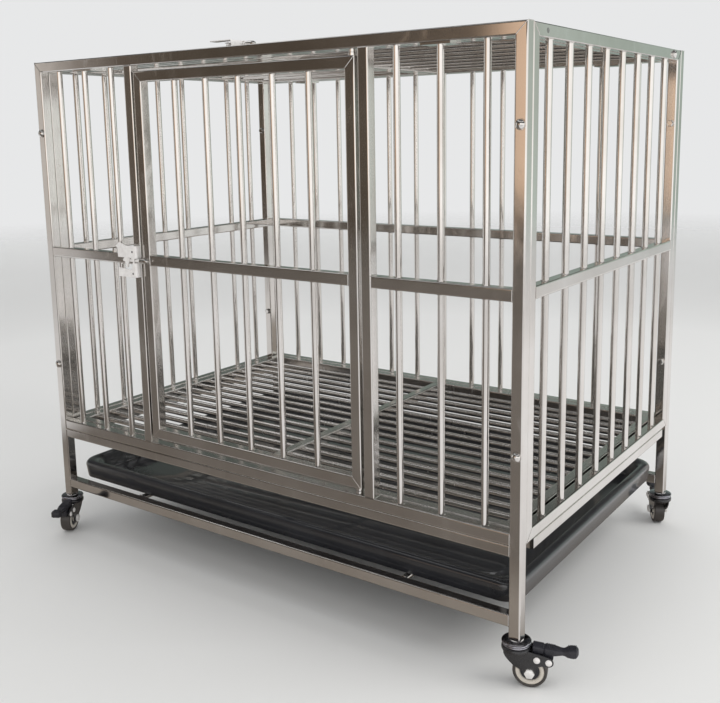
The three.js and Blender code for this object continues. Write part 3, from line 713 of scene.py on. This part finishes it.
def floor_grate():
    low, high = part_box("floor_grate")
    z = (low.z + high.z) / 2
    shell = Shell()
    frame_ring(shell, rectangle(low, high, z), Z_AXIS)
    cross_rail(shell, 0, high.y - TUBE, z, Z_AXIS)
    section = round_section(GRATE_ROD / 2, 12)
    for y in span(GRATE_COUNT, GRATE_PITCH):
        for start, end in ((low.x + TUBE, -HALF_TUBE), (HALF_TUBE, high.x - TUBE)):
            shell.run((start - 0.002, y, z), (end + 0.002, y, z), Z_AXIS, section)
            for x in (start, end):
                shell.weld_round((x, y, z), X_AXIS, GRATE_ROD / 2, 0.0007)
    shell.finish("floor_grate_tubes", "frame", "stainless_tube", ["floor_grate"],
                 material=MATERIALS["stainless_grate"])


def tray_supports():
    for side in ("left", "right"):
        node = "tray_support_" + side
        low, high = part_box(node)
        x = (low.x + high.x) / 2
        z = (low.z + high.z) / 2
        shell = Shell()
        ends = [(x, low.y, z), (x, high.y, z)]
        shell.run(*ends, Z_AXIS, ROUND, ends)
        for end in ends:
            shell.weld_round(end, Y_AXIS)
        shell.finish(node + "_bar", "frame", "stainless_tube", [node])


# ---------------------------------------------------------------- tray

def rounded_rectangle(half_x, half_y, radius, z, steps=10):
    points = []
    for quarter, (sx, sy) in enumerate(((1, 1), (-1, 1), (-1, -1), (1, -1))):
        start = quarter * 90
        points += arc(sx * (half_x - radius), sy * (half_y - radius), radius, start, start + 90, steps)
    return [(x, y, z) for x, y in points]


def tray():
    """A vacuum-formed pan whose rim turns over into a skirt, with a shallow step round its floor."""
    low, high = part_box("tray")
    base = low.z
    top = high.z
    skirt = 0.035
    pan = 0.046
    # Inset from the outer edge, height and corner radius: from under the floor, round the rim, to its top.
    rows = [
        (0.0290, base, pan), (0.0272, base + 0.0008, pan), (0.0262, base + 0.0035, pan),
        (0.0182, top - 0.0110, pan), (0.0168, top - 0.0062, pan - 0.002),
        (0.0145, top - 0.0034, pan - 0.006), (0.0090, top - 0.0034, skirt),
        (0.0050, top - 0.0062, skirt), (0.0032, top - 0.0120, skirt), (0.0058, base + 0.0006, skirt),
        (0.0044, base, skirt), (0.0032, base + 0.0006, skirt), (0.0002, top - 0.0115, skirt),
        (0.0002, top - 0.0095, skirt), (0.0010, top - 0.0062, skirt), (0.0030, top - 0.0028, skirt),
        (0.0055, top - 0.0008, skirt), (0.0085, top, skirt), (0.0145, top, pan - 0.006),
        (0.0175, top - 0.0014, pan - 0.003), (0.0198, top - 0.0050, pan), (0.0212, top - 0.0095, pan),
        (0.0288, base + 0.0075, pan), (0.0306, base + 0.0042, pan), (0.0345, base + 0.0030, pan),
        (0.0700, base + 0.0030, pan), (0.0730, base + 0.0044, pan), (0.0780, base + 0.0048, pan),
    ]
    shell = Shell()
    shell.skin([rounded_rectangle(high.x - inset, high.y - inset, radius, z) for inset, z, radius in rows])
    shell.finish("tray_pan", "tray", "tray_plastic", ["tray"], crease=50)


# ---------------------------------------------------------------- fasteners

def towards(axis):
    """Turns z onto an axis."""
    return Vector(axis).to_track_quat("Z", "Y").to_matrix().to_4x4()


def domed_head(shell, place, radius=0.0083, dome=0.0058):
    """A domed head with a thin washer under it."""
    shell.drum(radius + 0.0012, 0.0, 0.0012, place, 36)
    profile = [(0, 0.0010), (radius, 0.0010)]
    base, rise = 0.0014, dome - 0.0004
    profile += [(radius * cos(radians(a)), base + rise * sin(radians(a))) for a in range(0, 90, 12)]
    profile.append((0, base + rise))
    shell.lathe(profile, place, 36)


def hex_nut(shell, place, across_corners, low, high):
    """A chamfered hexagon between two heights."""
    r = across_corners / 2
    chamfer = r * 0.16
    rings = []
    ease = chamfer * 0.6
    for height, reach in ((low, r - chamfer), (low + ease, r), (high - ease, r), (high, r - chamfer)):
        rings.append([place @ Vector((reach * cos(radians(a)), reach * sin(radians(a)), height))
                      for a in range(0, 360, 60)])
    shell.skin(rings)


def corner_bolts():
    for level in ("lower", "upper"):
        for corner in CORNERS:
            node = f"corner_bolt_{level}_{corner}"
            low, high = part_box(node)
            side = -1 if corner[0] == "f" else 1
            x, z = (low.x + high.x) / 2, (low.z + high.z) / 2
            shell = Shell()
            outward = Matrix.Translation((x, side * HALF_DEPTH, z)) @ towards((0, side, 0))
            domed_head(shell, outward)
            nut_face = -(2 * TUBE + 0.0006)
            shell.drum(0.004, nut_face - 0.0062, -0.0005, outward, 16)
            shell.drum(0.0085, nut_face - 0.0009, nut_face, outward, 30)
            hex_nut(shell, outward, 0.015, nut_face - 0.0060, nut_face - 0.0009)
            shell.finish(node + "_set", "frame", "bright_plating", [node], bevel=0.0002)


def roof_bolts():
    for node in ("roof_bolt_front_left", "roof_bolt_back_left", "roof_bolt_back_right"):
        low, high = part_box(node)
        side = 1 if node.endswith("right") else -1
        y, z = (low.y + high.y) / 2, (low.z + high.z) / 2
        shell = Shell()
        outward = Matrix.Translation((side * HALF_WIDTH, y, z)) @ towards((side, 0, 0))
        domed_head(shell, outward)
        shell.drum(0.0038, -0.040, -0.0005, outward, 16)
        shell.finish(node + "_screw", "frame", "bright_plating", [node], bevel=0.0002)


def hinge_pins():
    for node, axis in (("hinge_pin_lower", Z_AXIS), ("hinge_pin_upper", Z_AXIS),
                       ("roof_hinge_pin_left", X_AXIS), ("roof_hinge_pin_right", X_AXIS)):
        low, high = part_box(node)
        place = Matrix.Translation((low + high) / 2) @ towards(axis)
        upright = axis is Z_AXIS
        reach = ((high - low).z if upright else (high - low).x) / 2
        gap = 0.0057 if upright else 0.0027
        shell = Shell()
        shell.drum(0.004, -reach, reach, place, 24)
        layers = 2 if upright else 1
        thickness = 2 * gap / layers
        for i in range(layers):
            base = -gap + i * thickness
            radius = 0.0080 if i == 0 else 0.0072
            shell.drum(radius, base, base + thickness - 0.0004, place)
        shell.finish(node + "_turned", "frame", "bright_plating", [node], bevel=0.0003)


# ---------------------------------------------------------------- latches

def latch_place(prefix):
    """The latch's own frame: x along the bolt, -y away from the tube, the origin on the tube's edge."""
    low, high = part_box(prefix + "_latch_bracket")
    if prefix == "front":
        return Matrix.Translation((high.x, -HALF_DEPTH, high.z - 0.038))
    return Matrix.Translation((high.x, high.y - 0.038, TOP)) @ Matrix.Rotation(radians(-90), 4, "X")


def latch_bracket(prefix, body):
    """A stamped bracket: two straps, an ear, and a right end that curls back to the tube."""
    shell = Shell()
    front = -(LATCH_STANDOFF + LATCH_PLATE)
    curl = 0.006
    straps = [
        (-curl, -0.036), (-curl, 0.032), (-0.034, 0.032), *arc(-0.050, 0.031, 0.007, 60, 150, 5),
        (-0.0625, 0.030), (-0.057, 0.025), (-0.057, 0.006), (-0.016, 0.006),
        *arc(-0.013, -0.001, 0.004, 60, -60, 4), (-0.016, -0.020), (-0.057, -0.0165), (-0.057, -0.036),
    ]
    shell.extrude(straps, front, front + LATCH_PLATE)
    bend = [(-curl, front), *arc(-curl, front + curl, curl, -90, 0, 6)[1:], (0.0, -0.0004)]
    bend += [(-LATCH_PLATE, -0.0004), *arc(-curl, front + curl, curl - LATCH_PLATE, 0, -90, 6)]
    for low, high in ((-0.036, -0.0048), (0.0048, 0.032)):
        shell.skin([[(x, y, z) for x, y in bend] for z in (low, high)])
    shell.finish(prefix + "_latch_stamping", body, "bright_plating", [prefix + "_latch_bracket"],
                 material=MATERIALS["satin_zinc"], bevel=0.0005, shift=latch_place(prefix))


def latch_hole_shades(prefix, body):
    """The bracket's two screw holes, stood for by thin dark discs on its face: painted shade, not openings.
    """
    shell = Shell()
    face = -(LATCH_STANDOFF + LATCH_PLATE)
    for z in (0.019, -0.028):
        place = Matrix.Translation((-0.011, face, z)) @ towards((0, -1, 0))
        shell.drum(0.0024, -0.0002, 0.00015, place, 20)
    shell.finish(prefix + "_latch_screw_hole_shades", body, "fork_paint", shift=latch_place(prefix))


def latch_bolt(prefix, body):
    """The sliding rod with a rounded tip and its tapered thumb lever."""
    shell = Shell()
    along = Matrix.Translation((0, LATCH_BOLT_DEPTH, 0)) @ towards((1, 0, 0))
    tip = [(0.004 * cos(radians(a)), 0.0012 + 0.0028 * sin(radians(a))) for a in range(0, 90, 15)]
    shell.lathe([(0, -0.045), (0.0036, -0.045), (0.004, -0.0445), *tip, (0, 0.004)], along, 28)
    lever = [(-0.043, 0.014), (-0.0345, -0.012), *arc(-0.031, -0.012, 0.0032, 190, 350, 6), (-0.0195, 0.014)]
    shell.extrude(lever, -LATCH_STANDOFF + 0.0003, -LATCH_STANDOFF + 0.0023)
    shell.finish(prefix + "_latch_rod", body, "bright_plating", [prefix + "_latch_bolt"],
                 material=MATERIALS["satin_zinc"], bevel=0.0004, shift=latch_place(prefix))


def latch_keeper(prefix, body):
    """The sleeve that the bolt enters, tapered to a point at its far end, on a small foot."""
    shell = Shell()
    along = Matrix.Translation((0, LATCH_BOLT_DEPTH, 0)) @ towards((1, 0, 0))
    nose = [(0.0052 * cos(radians(a)) ** 0.8, 0.019 + 0.010 * sin(radians(a))) for a in range(0, 90, 10)]
    shell.lathe([(0, 0.0188), (0.0043, 0.0188), (0.0043, 0.0068), (0.0048, 0.0065), (0.0052, 0.0070), *nose,
                 (0, 0.029)], along, 28)
    shell.extrude([(0.0085, -0.006), (0.0245, -0.006), (0.0245, 0.006), (0.0085, 0.006)], -0.0030, -0.0003)
    shell.finish(prefix + "_latch_sleeve", body, "bright_plating", [prefix + "_latch_keeper"],
                 bevel=0.0004, shift=latch_place(prefix))


def latches():
    bodies = (("front", "frame", "front_door"), ("roof", "roof_door", "frame"))
    for prefix, bracket_body, keeper_body in bodies:
        latch_bracket(prefix, bracket_body)
        latch_hole_shades(prefix, bracket_body)
        latch_bolt(prefix, prefix + "_latch")
        latch_keeper(prefix, keeper_body)


# ---------------------------------------------------------------- casters

def caster_place(corner):
    """A caster's own frame: the swivel on z, the wheel trailing towards +x."""
    stem_low, stem_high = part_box(f"caster_{corner}_stem")
    wheel_low, wheel_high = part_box(f"caster_{corner}_tread")
    stem = (stem_low + stem_high) / 2
    wheel = (wheel_low + wheel_high) / 2
    turn = atan2(wheel.y - stem.y, wheel.x - stem.x)
    return Matrix.Translation((stem.x, stem.y, 0)) @ Matrix.Rotation(turn, 4, "Z")


def caster_stem(corner, place):
    """The upper raceway with its two rolled rings, and the bright washer and pin that hold it to the post."""
    top = POST_BOTTOM - 0.0003
    dish = Shell()
    upper = CROWN_RADIUS - 0.0020
    lower = CROWN_RADIUS - 0.0026
    dish.lathe([(0, 0.0731), (lower, 0.0731), *arc(lower, 0.0748, 0.0017, -75, 80, 7),
                (lower - 0.0006, 0.0767), *arc(upper, 0.0786, 0.0019, -75, 80, 7), (upper - 0.0020, 0.0807),
                (0.0180, 0.0810), (0.0130, 0.0812), (0, 0.0812)], Matrix(), 56)
    dish.finish(f"caster_{corner}_raceway", "frame", "bright_plating", [f"caster_{corner}_stem"],
                material=MATERIALS["dark_chrome"], shift=place)
    shell = Shell()
    shell.lathe([(0, 0.0813), (0.0118, 0.0813), (0.0122, 0.0816), (0.0118, top), (0, top)], Matrix(), 40)
    shell.drum(0.005, top - 0.001, top + 0.023, steps=16)
    shell.finish(f"caster_{corner}_washer_and_pin", "frame", "bright_plating",
                 material=MATERIALS["satin_zinc"], shift=place)


def leg_outline():
    trail, axle_z = WHEEL_TRAIL, WHEEL_RADIUS
    points = [(-0.0215, 0.0690), (-0.0205, 0.0610), (-0.0175, 0.0550), (-0.0110, 0.0475), (-0.0040, 0.0410)]
    points += [(0.0060, 0.0352), *arc(trail, axle_z, HUB_RADIUS, 170, 340, 12)]
    points += [(0.0355, 0.0365), (0.0390, 0.0430), (0.0455, 0.0446)]
    points += arc(*PEDAL_PIN, 0.0082, -80, 75, 8)
    points += [(0.0480, 0.0640), (0.0330, 0.0665), (0.0200, 0.0692)]
    return points


def caster_fork(corner, place):
    """A pressed fork: a round-edged crown, two legs, and the pin that the pedal turns on."""
    shell = Shell()
    edge = CROWN_RADIUS - 0.0045
    crown = [(0, 0.0622), (edge, 0.0622), *arc(edge, 0.0667, 0.0045, -80, 0, 5), (CROWN_RADIUS, 0.0685),
             *arc(edge + 0.0005, 0.0687, 0.0040, 10, 85, 5), (0, 0.0727)]
    shell.lathe(crown, Matrix(), 56)
    for side in (-1, 1):
        ends = sorted((side * LEG_INNER, side * LEG_OUTER))
        shell.extrude(leg_outline(), *ends)
        hub = Matrix.Translation((WHEEL_TRAIL, side * LEG_OUTER, WHEEL_RADIUS)) @ towards((0, side, 0))
        shell.lathe([(0, -0.001), (0.0095, -0.001), (0.0090, 0.0003), (0, 0.0003)], hub, 28)
    pin = Matrix.Translation((PEDAL_PIN[0], 0, PEDAL_PIN[1])) @ towards((0, 1, 0))
    shell.drum(0.003, -0.015, 0.015, pin, 20)
    shell.finish(f"caster_{corner}_fork_pressing", f"caster_{corner}_swivel", "fork_paint",
                 [f"caster_{corner}_fork"], bevel=0.0007, shift=place)


def caster_rivets(corner, place):
    """The four domed rivets, which turn with the fork."""
    shell = Shell()
    radius = 0.0058
    for side in (-1, 1):
        for x, z in (PEDAL_PIN, UPPER_RIVET):
            spot = Matrix.Translation((x, side * LEG_OUTER, z)) @ towards((0, side, 0))
            dome = [(radius * cos(radians(a)), 0.0003 + 0.0026 * sin(radians(a))) for a in range(0, 90, 15)]
            shell.lathe([(0, -0.0004), (radius, -0.0004), *dome, (0, 0.0029)], spot, 28)
    shell.finish(f"caster_{corner}_rivets", f"caster_{corner}_swivel", "bright_plating",
                 material=MATERIALS["satin_zinc"], shift=place)


def caster_axle(corner, place):
    shell = Shell()
    for side in (-1, 1):
        face = side * (LEG_OUTER + 0.0004)
        end = Matrix.Translation((WHEEL_TRAIL, face, WHEEL_RADIUS)) @ towards((0, side, 0))
        hex_nut(shell, end, 0.0174, 0.0, 0.0053)
        tip = 0.0060 if side < 0 else 0.0056
        shell.lathe([(0, 0.0050), (0.0038, 0.0050), (0.0032, tip), (0, tip)], end, 20)
    across = Matrix.Translation((WHEEL_TRAIL, 0, WHEEL_RADIUS)) @ towards((0, 1, 0))
    shell.drum(0.004, -0.0174, 0.0174, across, 20)
    shell.finish(f"caster_{corner}_axle_bolt", f"caster_{corner}_swivel", "bright_plating",
                 [f"caster_{corner}_axle"], material=MATERIALS["satin_zinc"], shift=place)


def caster_wheel(corner, place):
    """Cream rim, black thread guards in its sides, and a rounded hard tread."""
    across = place @ Matrix.Translation((WHEEL_TRAIL, 0, WHEEL_RADIUS)) @ towards((0, 1, 0))
    body = f"caster_{corner}_wheel"
    rim = Shell()
    half = [(0.0041, 0.0125), (0.0080, 0.0125), (0.0088, 0.0090), (0.0165, 0.0088), (0.0172, 0.0108),
            (0.0184, 0.0119), (0.0204, 0.0124), (0.0226, 0.0122), (0.0242, 0.0112), (0.0248, 0.0098)]
    profile = [(r, -h) for r, h in half] + [(r, h) for r, h in reversed(half)]
    rim.lathe([*profile, profile[0]], Matrix(), 64)
    rim.finish(f"caster_{corner}_rim", body, "wheel_core", [f"caster_{corner}_wheel"], shift=across)
    guard = Shell()
    for side in (-1, 1):
        face = towards((0, 0, side))
        guard.lathe([(0.0085, 0.0091), (0.0163, 0.0091), (0.0163, 0.0100), (0.0140, 0.0106), (0.0100, 0.0106),
                     (0.0085, 0.0100), (0.0085, 0.0091)], face, 48)
    guard.finish(f"caster_{corner}_thread_guards", body, "pedal_plastic", shift=across)
    tread = Shell()
    shoulder = [(0.0272 + 0.0026 * sin(radians(a)), 0.0092 + 0.0028 * cos(radians(a)))
                for a in range(0, 91, 18)]
    edge = [(0.0250, 0.0114), (0.0262, 0.0120), *shoulder, (0.0300, 0.0050)]
    profile = [(r, -h) for r, h in edge] + [(r, h) for r, h in reversed(edge)]
    tread.lathe([*profile, profile[0]], Matrix(), 72)
    tread.finish(f"caster_{corner}_tyre", body, "wheel_tread", [f"caster_{corner}_tread"], shift=across)


# The pedal's sections along x: place, half width, and the heights of its underside and its top.
PEDAL_SECTIONS = (
    (0.0276, 0.0092, 0.0635, 0.0755),
    (0.0290, 0.0104, 0.0622, 0.0769),
    (0.0460, 0.0104, 0.0615, 0.0754),
    (0.0470, 0.0090, 0.0615, 0.0744),
    (0.0482, 0.0090, 0.0615, 0.0743),
    (0.0492, 0.0104, 0.0615, 0.0752),
    (0.0660, 0.0100, 0.0617, 0.0738),
    (0.0730, 0.0084, 0.0626, 0.0726),
    (0.0780, 0.0074, 0.0632, 0.0722),
    (0.0815, 0.0076, 0.0630, 0.0728),
    (0.0860, 0.0092, 0.0618, 0.0750),
    (0.0910, 0.0102, 0.0612, 0.0768),
    (0.0970, 0.0104, 0.0612, 0.0772),
    (0.1015, 0.0090, 0.0624, 0.0764),
    (0.1040, 0.0062, 0.0650, 0.0746),
    (0.1048, 0.0030, 0.0670, 0.0722),
)


def pedal_ring(x, half, low, high):
    corner = min(0.003, half * 0.8, (high - low) * 0.4)
    middle = (low + high) / 2
    return [(x, a, middle + b) for a, b in box_section(2 * half, high - low, corner)]


def caster_pedal(corner, place):
    """The brake pedal: ribbed body, narrow neck, round ribbed toe, and an ear for its pin underneath."""
    shell = Shell()
    shell.skin([pedal_ring(*section) for section in PEDAL_SECTIONS])
    ear = [(0.0480, 0.0640), (0.0495, 0.0500), *arc(*PEDAL_PIN, 0.0064, 205, 335, 8), (0.0640, 0.0640)]
    shell.extrude(ear, -0.0100, 0.0100)
    pitch = 0.0031
    for first, count, top, fall in ((0.0520, 5, 0.0748, 0.07), (0.0875, 5, 0.0762, -0.10)):
        for i in range(count):
            x = first + i * pitch
            z = top - i * pitch * fall
            width = 0.0086 if first < 0.06 else 0.0078
            shell.extrude([(x - 0.0010, z - 0.003), (x + 0.0010, z - 0.003), (x + 0.0007, z + 0.0009),
                           (x - 0.0007, z + 0.0009)], -width, width)
            for side in (-1, 1):
                ends = sorted((side * (width + 0.0004), side * 0.0106))
                shell.extrude([(x - 0.0008, 0.0632), (x + 0.0008, 0.0632), (x + 0.0008, z - 0.0024),
                               (x - 0.0008, z - 0.0024)], *ends)
    shell.finish(f"caster_{corner}_ribbed_pedal", f"caster_{corner}_brake", "pedal_plastic",
                 [f"caster_{corner}_pedal"], bevel=0.0004, shift=place)


def casters():
    for corner in CORNERS:
        place = caster_place(corner)
        caster_stem(corner, place)
        caster_fork(corner, place)
        caster_rivets(corner, place)
        caster_axle(corner, place)
        caster_wheel(corner, place)
        caster_pedal(corner, place)


def empty_bolt_hole_shade():
    """The hole in the right top rail whose screw is missing, stood for by a thin dark disc on the rail:
    painted shade, not an opening.
    """
    low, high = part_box("roof_bolt_back_right")
    place = Matrix.Translation((HALF_WIDTH, -(low.y + high.y) / 2, (low.z + high.z) / 2)) @ towards((1, 0, 0))
    shell = Shell()
    shell.drum(0.0043, 0.0001, 0.0002, place, 28)
    shell.finish("empty_bolt_hole_shade", "frame", "fork_paint")


# ---------------------------------------------------------------- studio

# What reflections see round the horizon: a heading in degrees from +X towards +Y, and a colour.
ROOM = (
    (-176, (0.20, 0.19, 0.17)),
    (-155, (0.95, 0.92, 0.88)),
    (-143.6, (0.90, 0.85, 0.80)),
    (-142, (0.22, 0.18, 0.15)),
    (-138, (0.13, 0.105, 0.08)),
    (-129, (0.12, 0.097, 0.076)),
    (-112, (0.13, 0.106, 0.085)),
    (-98, (0.22, 0.19, 0.17)),
    (-88, (1.65, 1.60, 1.56)),
    (15, (1.55, 1.55, 1.53)),
    (42, (1.20, 1.23, 1.20)),
    (52, (0.85, 0.91, 0.87)),
    (70, (0.55, 0.64, 0.58)),
    (100, (0.42, 0.50, 0.45)),
    (135, (0.16, 0.19, 0.17)),
    (176, (0.15, 0.15, 0.135)),
)
# What they see overhead: the height of the direction, and a brightness. One bright strip in a dark ceiling.
CEILING = ((0.40, 0.06), (0.66, 0.07), (0.70, 1.30), (0.76, 1.30), (0.80, 0.10), (0.999, 0.20))
# A warm bright patch: its limits in heading and in height, each with a soft edge.
WARM_HEADING = (radians(-118), radians(-116), radians(-98), radians(-94))
WARM_HEIGHT = (-0.085, -0.07, 0.13, 0.16)


def ramp(tree, value, stops):
    """A colour ramp from (place, colour) stops."""
    node = add(tree, "ShaderNodeValToRGB", {"Fac": value})
    elements = node.color_ramp.elements
    for spot, colour in stops:
        elements.new(spot).color = (*colour, 1)
    elements.remove(elements[0])
    elements.remove(elements[-1])
    return node.outputs["Color"]


def window(tree, value, limits):
    """One inside the limits and nought outside, with soft edges."""
    rise = remap(tree, value, limits[0], limits[1])
    fall = remap(tree, value, limits[2], limits[3], 1.0, 0.0)
    return maths(tree, "MULTIPLY", rise, fall)


def studio_world():
    """Soft studio light. Reflections alone see a room: bright on the right, warm and dark in front."""
    world = bpy.data.worlds.new("studio")
    bpy.context.scene.world = world
    world.use_nodes = True
    world.cycles.sampling_method = "NONE"
    tree = world.node_tree
    direction = add(tree, "ShaderNodeTexCoord").outputs["Generated"]
    parts = add(tree, "ShaderNodeSeparateXYZ", {0: direction}).outputs
    heading = maths(tree, "ARCTAN2", parts["Y"], parts["X"])
    streaks = noise(tree, scaled(tree, direction, (5.0, 5.0, 1.2)), 1.0, 3.0)
    around = maths(tree, "ADD", remap(tree, heading, -pi, pi), remap(tree, streaks, 0.3, 0.7, -0.003, 0.003))
    walls = ramp(tree, around, [(spot / 360 + 0.5, colour) for spot, colour in ROOM])
    walls = blend_colour(tree, remap(tree, streaks, 0.3, 0.7, 0.75, 1.0), (0, 0, 0, 1), walls)
    warm = maths(tree, "MULTIPLY", window(tree, heading, WARM_HEADING), window(tree, parts["Z"], WARM_HEIGHT))
    walls = blend_colour(tree, warm, walls, (1.05, 0.76, 0.55, 1))
    ceiling = ramp(tree, parts["Z"], [(spot, (level,) * 3) for spot, level in CEILING])
    seen = blend_colour(tree, remap(tree, parts["Z"], 0.28, 0.42), walls, ceiling)
    glossy = add(tree, "ShaderNodeLightPath").outputs["Is Glossy Ray"]
    colour = blend_colour(tree, glossy, (0.80, 0.805, 0.81, 1), seen)
    feed(tree, tree.nodes["Background"], {"Color": colour})


def area_light(name, at, target, size, power, colour):
    light = bpy.data.lights.new(name, "AREA")
    light.size = size
    light.energy = power
    light.color = colour
    lamp = bpy.data.objects.new(name, light)
    bpy.context.scene.collection.objects.link(lamp)
    lamp.location = at
    lamp.rotation_euler = (Vector(target) - Vector(at)).to_track_quat("-Z", "Y").to_euler()
    lamp.visible_glossy = False


def floor():
    """A plain pale floor that fades out. Reflections see it painted with light and shade: painted shade in
    front, a little lighter close to the cage, and painted pools of light on the right and far left.
    """
    shell = Shell()
    reach = 12.0
    shell.plate((-reach, -reach, -0.02), (reach, reach, 0.0))
    bmesh.ops.recalc_face_normals(shell.bm, faces=shell.bm.faces)
    mesh = bpy.data.meshes.new("studio_floor")
    shell.bm.to_mesh(mesh)
    shell.bm.free()
    made, tree, principled, where = shader("studio_floor")
    glossy = add(tree, "ShaderNodeLightPath").outputs["Is Glossy Ray"]
    parts = add(tree, "ShaderNodeSeparateXYZ", {0: where}).outputs
    # Painted light for reflections: masks for the painted bright patches on the right, beside the cage's
    # right side and far left.
    ahead = maths(tree, "MULTIPLY", maths(tree, "MINIMUM", parts["Y"], 0.0), -0.4)
    right = remap(tree, maths(tree, "ADD", parts["X"], ahead), 0.76, 0.92)
    slant = maths(tree, "ADD", maths(tree, "MULTIPLY", parts["X"], -0.8), parts["Y"])
    far_left = remap(tree, parts["X"], -1.35, -1.15, 1.0, 0.0)
    left = maths(tree, "MULTIPLY", far_left, remap(tree, slant, -0.05, 0.10))
    near_right = remap(tree, parts["X"], 0.64, 0.76)
    beside = maths(tree, "MULTIPLY", near_right, remap(tree, parts["Y"], -0.40, -0.30))
    bright = maths(tree, "MAXIMUM", maths(tree, "MAXIMUM", right, beside), left)
    # Painted shade for reflections: darkest far in front, a little lighter close to the cage.
    near = remap(tree, parts["Y"], -0.85, -0.65)
    dark = blend_colour(tree, near, (0.20, 0.175, 0.152, 1), (0.36, 0.32, 0.28, 1))
    painted_reflection = blend_colour(tree, bright, dark, (0.95, 0.94, 0.94, 1))
    colour = blend_colour(tree, glossy, (0.80, 0.80, 0.79, 1), painted_reflection)
    feed(tree, principled, {"Base Color": colour, "Roughness": 0.8})
    distance = add(tree, "ShaderNodeVectorMath", {0: where}, operation="LENGTH").outputs["Value"]
    clear = add(tree, "ShaderNodeBsdfTransparent").outputs["BSDF"]
    solid = principled.outputs["BSDF"]
    fade = add(tree, "ShaderNodeMixShader", {0: remap(tree, distance, 2.6, 9.0), 1: solid, 2: clear})
    tree.links.new(fade.outputs["Shader"], tree.nodes["Material Output"].inputs["Surface"])
    mesh.materials.append(made)
    ground = bpy.data.objects.new("studio_floor", mesh)
    bpy.context.scene.collection.objects.link(ground)


def camera():
    lens = bpy.data.cameras.new("camera")
    lens.lens = CAMERA_LENS
    lens.sensor_width = 36
    lens.shift_x, lens.shift_y = CAMERA_SHIFT
    holder = bpy.data.objects.new("camera", lens)
    bpy.context.scene.collection.objects.link(holder)
    turn = Matrix.Rotation(radians(CAMERA_TURN), 4, "Z")
    down = Matrix.Rotation(radians(90 - CAMERA_DOWN), 4, "X")
    roll = Matrix.Rotation(radians(-CAMERA_ROLL), 4, "Z")
    holder.matrix_world = Matrix.Translation(CAMERA_AT) @ turn @ down @ roll
    bpy.context.scene.camera = holder


camera()
studio_world()
area_light("key", (3.4, 0.6, 3.6), (0, 0, 0.5), 2.6, 75, (1.0, 0.99, 0.97))
area_light("fill", (-1.5, -4.0, 3.0), (0, 0, 0.5), 3.0, 20, (1.0, 0.95, 0.9))
floor()

front_panel()
back_panel()
end_panel(-1)
end_panel(1)
roof_panel()
roof_door()
front_door()
floor_grate()
tray_supports()
tray()
corner_bolts()
roof_bolts()
hinge_pins()
latches()
casters()
empty_bolt_hole_shade()

bpy.context.scene.view_settings.view_transform = "Standard"
